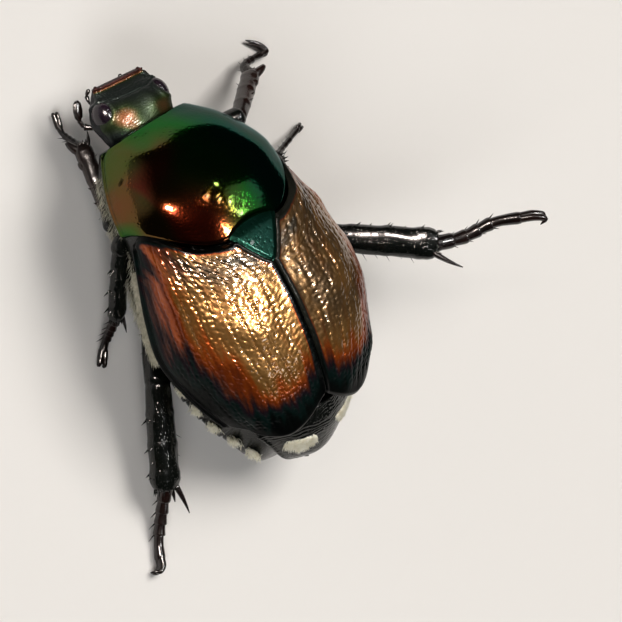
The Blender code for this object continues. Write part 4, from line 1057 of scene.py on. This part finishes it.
# The thin hair on the sides of the breast, all lying backwards.
BREAST_HAIRS, BREAST_HAIR_RADIUS = 2300, 0.0085
for side, name in SIDES:
    rng = np.random.default_rng(110 + side)
    f = rng.uniform(-1.0, 3.4, BREAST_HAIRS)
    width, widest, bottom = along(TRUNK, f).T
    a = np.radians(rng.uniform(25, 115, BREAST_HAIRS))
    l = width * np.sin(np.minimum(a, np.pi / 2))
    u = widest - (widest - bottom) * np.abs(np.cos(a)) ** 0.8 * np.where(a < np.pi / 2, 1, -0.4)
    roots = np.stack([f, side * (l - 0.03), u], -1)
    ways = np.stack([np.full(BREAST_HAIRS, -0.65), side * np.sin(a) * 0.8, -np.cos(a) * 0.8], -1)
    hair_piece(f"breast_hair_{name}", roots, ways, 0.26, BREAST_HAIR_RADIUS, grey_hair, (f + 1) / 5,
               a / np.pi, 120 + side, 0.22)

# The pale line along the shoulder, just outside the wing case's edge.
SHOULDER_HAIRS, SHOULDER_HAIR_RADIUS = 1300, 0.0095
for side, name in SIDES:
    rng = np.random.default_rng(130 + side)
    f = rng.uniform(-1.25, 0.95, SHOULDER_HAIRS)
    table = along(ELYTRA, f)
    lift = rng.uniform(-0.50, -0.10, SHOULDER_HAIRS)
    roots = np.stack([f, side * (table[:, 0] - 0.14 + 0.10 * (lift + 0.3)), table[:, 1] + lift], -1)
    ways = np.stack([np.full(SHOULDER_HAIRS, -0.85), np.full(SHOULDER_HAIRS, side * 0.42),
                     np.full(SHOULDER_HAIRS, 0.10)], -1)
    hair_piece(f"shoulder_hair_{name}", roots, ways, 0.26, SHOULDER_HAIR_RADIUS, grey_hair, (f + 2) / 4,
               lift + 0.6, 140 + side, 0.16)


# Legs
# Each leg has a broad polished femur, a shin with spurs, teeth or rows of spines, and a foot of five small
# joints with two hooked claws, all hollow tubes of black chitin that is red brown at the feet.

LEGS = {  # foot of the femur, knee, ankle, and the run of the foot to its claws
    "front_left": ((2.90, 0.62, 0.02), (2.13, 1.64, 0.84), (4.24, 0.99, 0.26),
                   ((4.45, 0.98, -0.08), (4.70, 0.93, -0.36), (4.92, 0.87, -0.45))),
    "front_right": ((2.90, -0.62, 0.02), (2.84, -2.97, 1.25), (3.52, -4.58, 0.22),
                    ((3.74, -4.70, -0.08), (3.77, -5.14, -0.28), (3.74, -5.55, -0.42))),
    "middle_left": ((0.85, 0.95, -0.08), (1.62, 2.02, 1.25), (-0.02, 2.52, 0.14),
                    ((-0.20, 2.66, -0.12), (-0.44, 2.85, -0.37), (-0.64, 3.01, -0.45))),
    "middle_right": ((0.85, -0.95, -0.08), (1.02, -2.90, 1.16), (1.36, -3.86, 0.42),
                     ((1.40, -4.25, 0.16), (1.49, -4.87, -0.14), (1.58, -5.42, -0.38))),
    "hind_left": ((0.00, 1.00, -0.05), (-1.92, 2.84, 0.86), (-4.36, 3.72, 0.20),
                  ((-4.86, 3.97, -0.14), (-5.42, 4.28, -0.38), (-5.92, 4.54, -0.45))),
    "hind_right": ((0.00, -1.00, -0.05), (-0.92, -3.60, 0.72), (-2.60, -5.70, 2.30),
                   ((-2.80, -6.45, 2.42), (-2.88, -7.32, 2.68), (-3.13, -7.97, 2.96))),
}
OUTER_EDGE = {  # the way that the shin's outer edge faces, where it isn't in the plane of the leg
    "hind_right": (0.87, -0.46, 0.18),
    "hind_left": (0.35, 0.94, 0.20),
    "front_left": (0.45, 0.80, -0.40),
}
LEG_SIZES = {  # femur half width and half thickness, shin half width at knee and ankle, its half thickness
    "front": (0.36, 0.28, 0.20, 0.24, 0.20),
    "middle": (0.38, 0.28, 0.20, 0.26, 0.22),
    "hind": (0.46, 0.32, 0.33, 0.42, 0.30),
}
SPUR_LENGTH = {"front": 0.40, "middle": 0.55, "hind": 0.78}
BRISTLE_STEP = {"front": 0.16, "middle": 0.10, "hind": 0.10}
BRISTLE_SCALE = {"front": 1.0, "middle": 1.0, "hind": 1.6}
FOOT_RADII = {"front_left": 0.115, "front_right": 0.13, "middle_left": 0.16, "middle_right": 0.10,
              "hind_left": 0.20, "hind_right": 0.225}
# How far the claws reach ahead, and how far their tips are hooked from there.
CLAWS = {"front_left": (0.30, (0, 0, -0.12)), "front_right": (0.30, (0.53, 0.49, 0)),
         "middle_left": (0.30, (0, 0, -0.12)), "middle_right": (0.16, (0, 0, -0.08)),
         "hind_left": (0.24, (0.08, 0.26, 0)), "hind_right": (0.57, (-0.16, 0.10, -0.16))}
RAISED_LEG = "hind_right"
FLOOR_U = -FLOOR_DEPTH
# Outlines as (share of the length, share of the half width), and the shares at which the foot's joints end.
FEMUR = ((0, 0.45), (0.06, 0.75), (0.15, 0.90), (0.40, 1.0), (0.70, 0.94), (0.84, 0.84), (0.90, 0.82),
         (0.95, 0.77), (0.975, 0.63), (0.99, 0.44), (1, 0.22))
FIRST_JOINT = ((0, 1.10), (0.3, 1.0), (0.85, 1.02), (0.96, 0.95), (1, 0.6))
MIDDLE_JOINT = ((0, 0.66), (0.06, 0.80), (0.5, 0.90), (0.85, 1.0), (0.96, 0.95), (1, 0.6))
CLAW_JOINT = ((0, 0.62), (0.05, 0.76), (0.4, 0.80), (0.85, 0.92), (0.96, 0.85), (1, 0.5))
FOOT_JOINTS = (FIRST_JOINT, MIDDLE_JOINT, MIDDLE_JOINT, MIDDLE_JOINT, CLAW_JOINT)
JOINT_ENDS = (0, 0.20, 0.36, 0.51, 0.66, 1.0)
RIDGES = (0.30, 0.58, 0.84)
SHELL, BROWN = 0, 1


def unit(v):
    """The vector at length 1."""
    return np.asarray(v, float) / np.linalg.norm(v)


def leg_frame(name):
    """Femur foot, knee and ankle, the normal of the leg's plane, and the way the shin's outer edge faces."""
    root, knee, ankle = (np.array(p, float) for p in LEGS[name][:3])
    plane = unit(np.cross(knee - root, ankle - knee))
    ahead = unit(ankle - knee)
    outward = unit(np.cross(plane, ahead))
    if outward @ (root - knee) > 0:
        outward = -outward
    if name in OUTER_EDGE:
        outward = np.array(OUTER_EDGE[name])
        outward = unit(outward - ahead * (outward @ ahead))
        plane = np.cross(outward, ahead)
    return root, knee, ankle, plane, outward


def shin_frame(name):
    """Knee, ankle, the way ahead, the plane's normal and the way outwards, and the shin's three sizes."""
    _, knee, ankle, plane, outward = leg_frame(name)
    return knee, ankle, unit(ankle - knee), plane, outward, *LEG_SIZES[name.split("_")[0]][2:]


def above_floor(tip, gap=0.02):
    """The tip, raised where it would stand less than the gap above the floor."""
    return np.array([tip[0], tip[1], max(tip[2], FLOOR_U + gap)])


def spine(root, tip, radius, bend=(0, 0, 0), blunt=0.07, rows=8, count=8):
    """A spine from root to tip that tapers by the power 1.4 and is bowed by the bend at its middle."""
    s = np.linspace(0.0, 1.0, rows)[:, None]
    path = np.asarray(root) * (1 - s) + np.asarray(tip) * s + np.asarray(bend) * 4 * s * (1 - s)
    half = radius * (1 - (1 - blunt) * s[:, 0] ** 1.4)
    ahead = unit(np.asarray(tip) - np.asarray(root))
    return grid_part(tube(path, half, half, np.cross(ahead, (0.31, 0.74, 0.6)), count), True, True)


def femur(name, draws):
    """The femur's tube, by its outline, and short bristles by turns along its two edges."""
    root, knee, _, plane, _ = leg_frame(name)
    wide, thick = LEG_SIZES[name.split("_")[0]][:2]
    ahead = unit(knee - root)
    edge = np.cross(plane, ahead)
    path = line(root - ahead * 0.30, knee + ahead * 0.16, 80)
    k = shaped(FEMUR, 80)
    flesh = tube(path, wide * k, thick * np.minimum(1, k + 0.1), edge, 48, 2.2)
    made = [(grid_part(flesh, True, True), SHELL)]
    for number, share in enumerate(np.arange(0.25, 0.86, 0.09)):
        around = edge * (-1) ** number
        base = path[int(share * 79)] + around * wide * 0.85 + plane * draws.uniform(-0.6, 0.6) * thick
        way = unit(around + ahead * 0.9 + plane * draws.uniform(-0.5, 0.5))
        tip = above_floor(base + way * draws.uniform(0.14, 0.24))
        made.append((spine(base, tip, 0.013, rows=5, count=5), BROWN))
    return made


def shin(name):
    """The shin's tube: wider to its end, with a faint swelling at each ridge, and not quite even."""
    knee, ankle, ahead, _, outward, thin, broad, thick = shin_frame(name)
    path = line(knee - ahead * 0.14, ankle + ahead * 0.06, 90)
    s = np.linspace(0.0, 1.0, 90)
    halves = shaped(((0, 0.45 * thin), (0.015, 0.75 * thin), (0.04, 0.92 * thin), (0.08, thin),
                     (0.35, (thin + broad) / 2), (0.75, broad * 0.95), (0.91, broad), (0.96, broad * 0.88),
                     (0.99, broad * 0.62), (1, broad * 0.40)), 90)
    ridged = 1 + 0.06 * sum(np.exp(-((s - at) / 0.035) ** 2) for at in RIDGES)
    flat = np.minimum(halves, thick * shaped(((0, 1), (0.9, 1), (1, 0.6)), 90))
    rings = tube(path, halves * ridged, flat * (0.5 + 0.5 * ridged), outward, 48, 2.3)
    along_leg, around_leg = np.meshgrid(s * 3, np.linspace(0, 2 * np.pi, 48, endpoint=False), indexing="ij")
    uneven = swell(along_leg + 0.5 * np.cos(around_leg), np.sin(around_leg), 0.8, 65)
    rings = path[:, None] + (rings - path[:, None]) * (1 + 0.035 * uneven[..., None])
    return [(grid_part(rings, True, True), SHELL)]


def spurs(name):
    """Two spurs from the inner side of the shin's end, one of them shorter."""
    _, ankle, ahead, plane, outward, _, broad, thick = shin_frame(name)
    made = []
    for side, length in ((1, 1.0), (-1, 0.6)):
        base = ankle - ahead * 0.10 - outward * broad * 0.5 + plane * side * thick * 0.35
        way = unit(ahead * 0.92 - outward * 0.38 + plane * side * 0.12)
        tip = above_floor(base + way * (SPUR_LENGTH[name.split("_")[0]] * length + 0.1), 0.04)
        made.append((spine(base, tip, 0.035 + 0.13 * broad, outward * -0.03, 0.15), BROWN))
    return made


def teeth(name):
    """Two blunt teeth on the outer edge of a front shin: a long one at its end and a low one behind it."""
    _, ankle, ahead, _, outward, _, broad, _ = shin_frame(name)
    made = []
    for back, reach in ((0.02, 0.28), (0.46, 0.06)):
        base = ankle - ahead * (back + 0.12) + outward * broad * 0.45
        tip = base + unit(outward * 0.55 + ahead * 0.83) * (reach + broad * 0.5)
        made.append((spine(base, tip, 0.14, outward * 0.03, 0.45), SHELL))
    return made


def shin_spines(name, spots, draws):
    """Spines on the shin's outer side, at spots of (share of its length, tilt from the plane, length)."""
    knee, ankle, ahead, plane, outward, thin, broad, thick = shin_frame(name)
    made = []
    for share, tilt, length in spots:
        half = thin + (broad - thin) * share
        out = unit(outward + plane * tilt)
        base = knee + (ankle - knee) * (share + draws.uniform(-0.02, 0.02))
        base = base + outward * half * (0.85 - 0.2 * abs(tilt)) + plane * tilt * thick * 0.8
        tip = base + unit(out + ahead * 0.8) * length * draws.uniform(0.85, 1.3)
        made.append((spine(base, tip, 0.034), SHELL))
    return made


def bristles(name, draws):
    """Fine bristles at even steps along the shin's inner side, each turned at random."""
    knee, ankle, ahead, plane, outward, thin, broad, _ = shin_frame(name)
    kind = name.split("_")[0]
    made = []
    for share in np.arange(0.16, 0.90, BRISTLE_STEP[kind]):
        out = unit(-outward + plane * draws.uniform(-0.9, 0.9))
        base = knee + (ankle - knee) * share + out * (thin + (broad - thin) * share) * 0.7
        tip = base + unit(ahead * 0.7 + out) * draws.uniform(0.14, 0.28) * BRISTLE_SCALE[kind]
        made.append((spine(base, above_floor(tip), 0.016, rows=5, count=6), BROWN))
    return made


def crown(name, draws):
    """A ring of short spines every 25 degrees round the shin's end, open at its inner side."""
    _, ankle, ahead, plane, outward, _, broad, thick = shin_frame(name)
    made = []
    for turn in np.radians(np.arange(-150, 151, 25)):
        around = outward * np.cos(turn) * broad * 0.8 + plane * np.sin(turn) * thick * 0.7
        base = ankle - ahead * 0.02 + around
        tip = base + (ahead + unit(around) * 0.3) * 0.40 * broad * draws.uniform(0.7, 1.2)
        made.append((spine(base, above_floor(tip), 0.028), SHELL))
    return made


def foot_run(name):
    """The foot's middle line in 101 points, from inside the shin to the claws, lifted clear of the floor."""
    _, ankle, ahead, *_ = shin_frame(name)
    run = smooth_path([ankle - ahead * 0.06, *LEGS[name][3]], 101)
    if name != RAISED_LEG:
        run[:, 2] = np.maximum(run[:, 2] - 0.02 * np.linspace(0, 1, 101), FLOOR_U + FOOT_RADII[name] * 0.85)
    return run


def foot(name, run):
    """Five joints along the run, each overlapping the next, with two small spines under each but the last."""
    radius = FOOT_RADII[name]
    made = []
    for i, outline in enumerate(FOOT_JOINTS):
        at = np.linspace(JOINT_ENDS[i] * 100 - 1.5 * (i > 0), min(100, JOINT_ENDS[i + 1] * 100 + 1.0), 20)
        joint = np.stack([np.interp(at, np.arange(101), run[:, c]) for c in range(3)], -1)
        half = radius * shaped(outline, 20) * (1 - 0.03 * i)
        made.append((grid_part(tube(joint, half, half * 0.9, (0.1, 0.2, 1.0), 22), True, True), BROWN))
        if outline is CLAW_JOINT:
            break
        heading = unit(joint[-1] - joint[-4])
        down = unit(np.array([0, 0, -1.0]) + heading * heading[2])
        aside = np.cross(heading, down)
        for side in (1, -1):
            base = joint[-3] + (down * 0.6 + aside * side * 0.6) * radius * 0.7
            tip = base + unit(heading + down * 0.5 + aside * side * 0.5) * (radius * 1.1 + 0.06)
            made.append((spine(base, above_floor(tip, 0.015), 0.12 * radius), BROWN))
    return made


def claws(name, run):
    """Two claws side by side from inside the last joint: tapered hooks on smooth curves of four points."""
    radius, (reach, hooked) = FOOT_RADII[name], CLAWS[name]
    tip, heading, hooked = run[-1], unit(run[-1] - run[-8]), np.array(hooked)
    sideways = unit(np.cross(heading, hooked))
    stout = 0.035 + 0.42 * radius
    half = shaped(((0, stout), (0.4, stout), (0.7, stout * 0.8), (0.88, stout * 0.45), (1, 0.012)), 24)
    made = []
    for side in (1, -1):
        apart = sideways * side * radius * 0.42
        curve = np.array([tip + apart * 0.7 - heading * 0.08, tip + apart + heading * reach * 0.60,
                          tip + apart * 1.2 + heading * reach * 1.10 + hooked * 0.4,
                          tip + apart * 1.3 + heading * reach * 0.95 + hooked])
        if name != RAISED_LEG:
            curve[1:, 2] = np.maximum(curve[1:, 2], FLOOR_U + np.array([0.14, 0.12, 0.03]))
        claw = tube(smooth_path(curve, 24), half, half * 0.8, (0, 0, 1.0), 16)
        made.append((grid_part(claw, True, True), BROWN))
    return made


for name in LEGS:
    draws = np.random.default_rng(60 + sum(map(ord, name)))
    parts, looks = zip(*femur(name, draws))
    make_piece(f"femur_{name}_leg", parts, [black_shell, foot_shell], [f"femur_{name}"], looks)
    made = shin(name) + spurs(name)
    if name.startswith("front"):
        shell = shin_shell
        made += teeth(name)
        spots = [(share, 0.0, 0.12) for share in (0.30, 0.48)]
    else:
        shell = black_shell
        spots = [(share, tilt, 0.20) for share in RIDGES for tilt in (-0.8, -0.35, 0.1, 0.55)]
        spots += [(share, 0.0, 0.12) for share in (0.44, 0.70)]
    made += shin_spines(name, spots, draws) + bristles(name, draws) + crown(name, draws)
    run = foot_run(name)
    parts, looks = zip(*made, *foot(name, run), *claws(name, run))
    make_piece(f"shin_{name}_leg", parts, [shell, foot_shell], [f"shin_{name}"], looks)
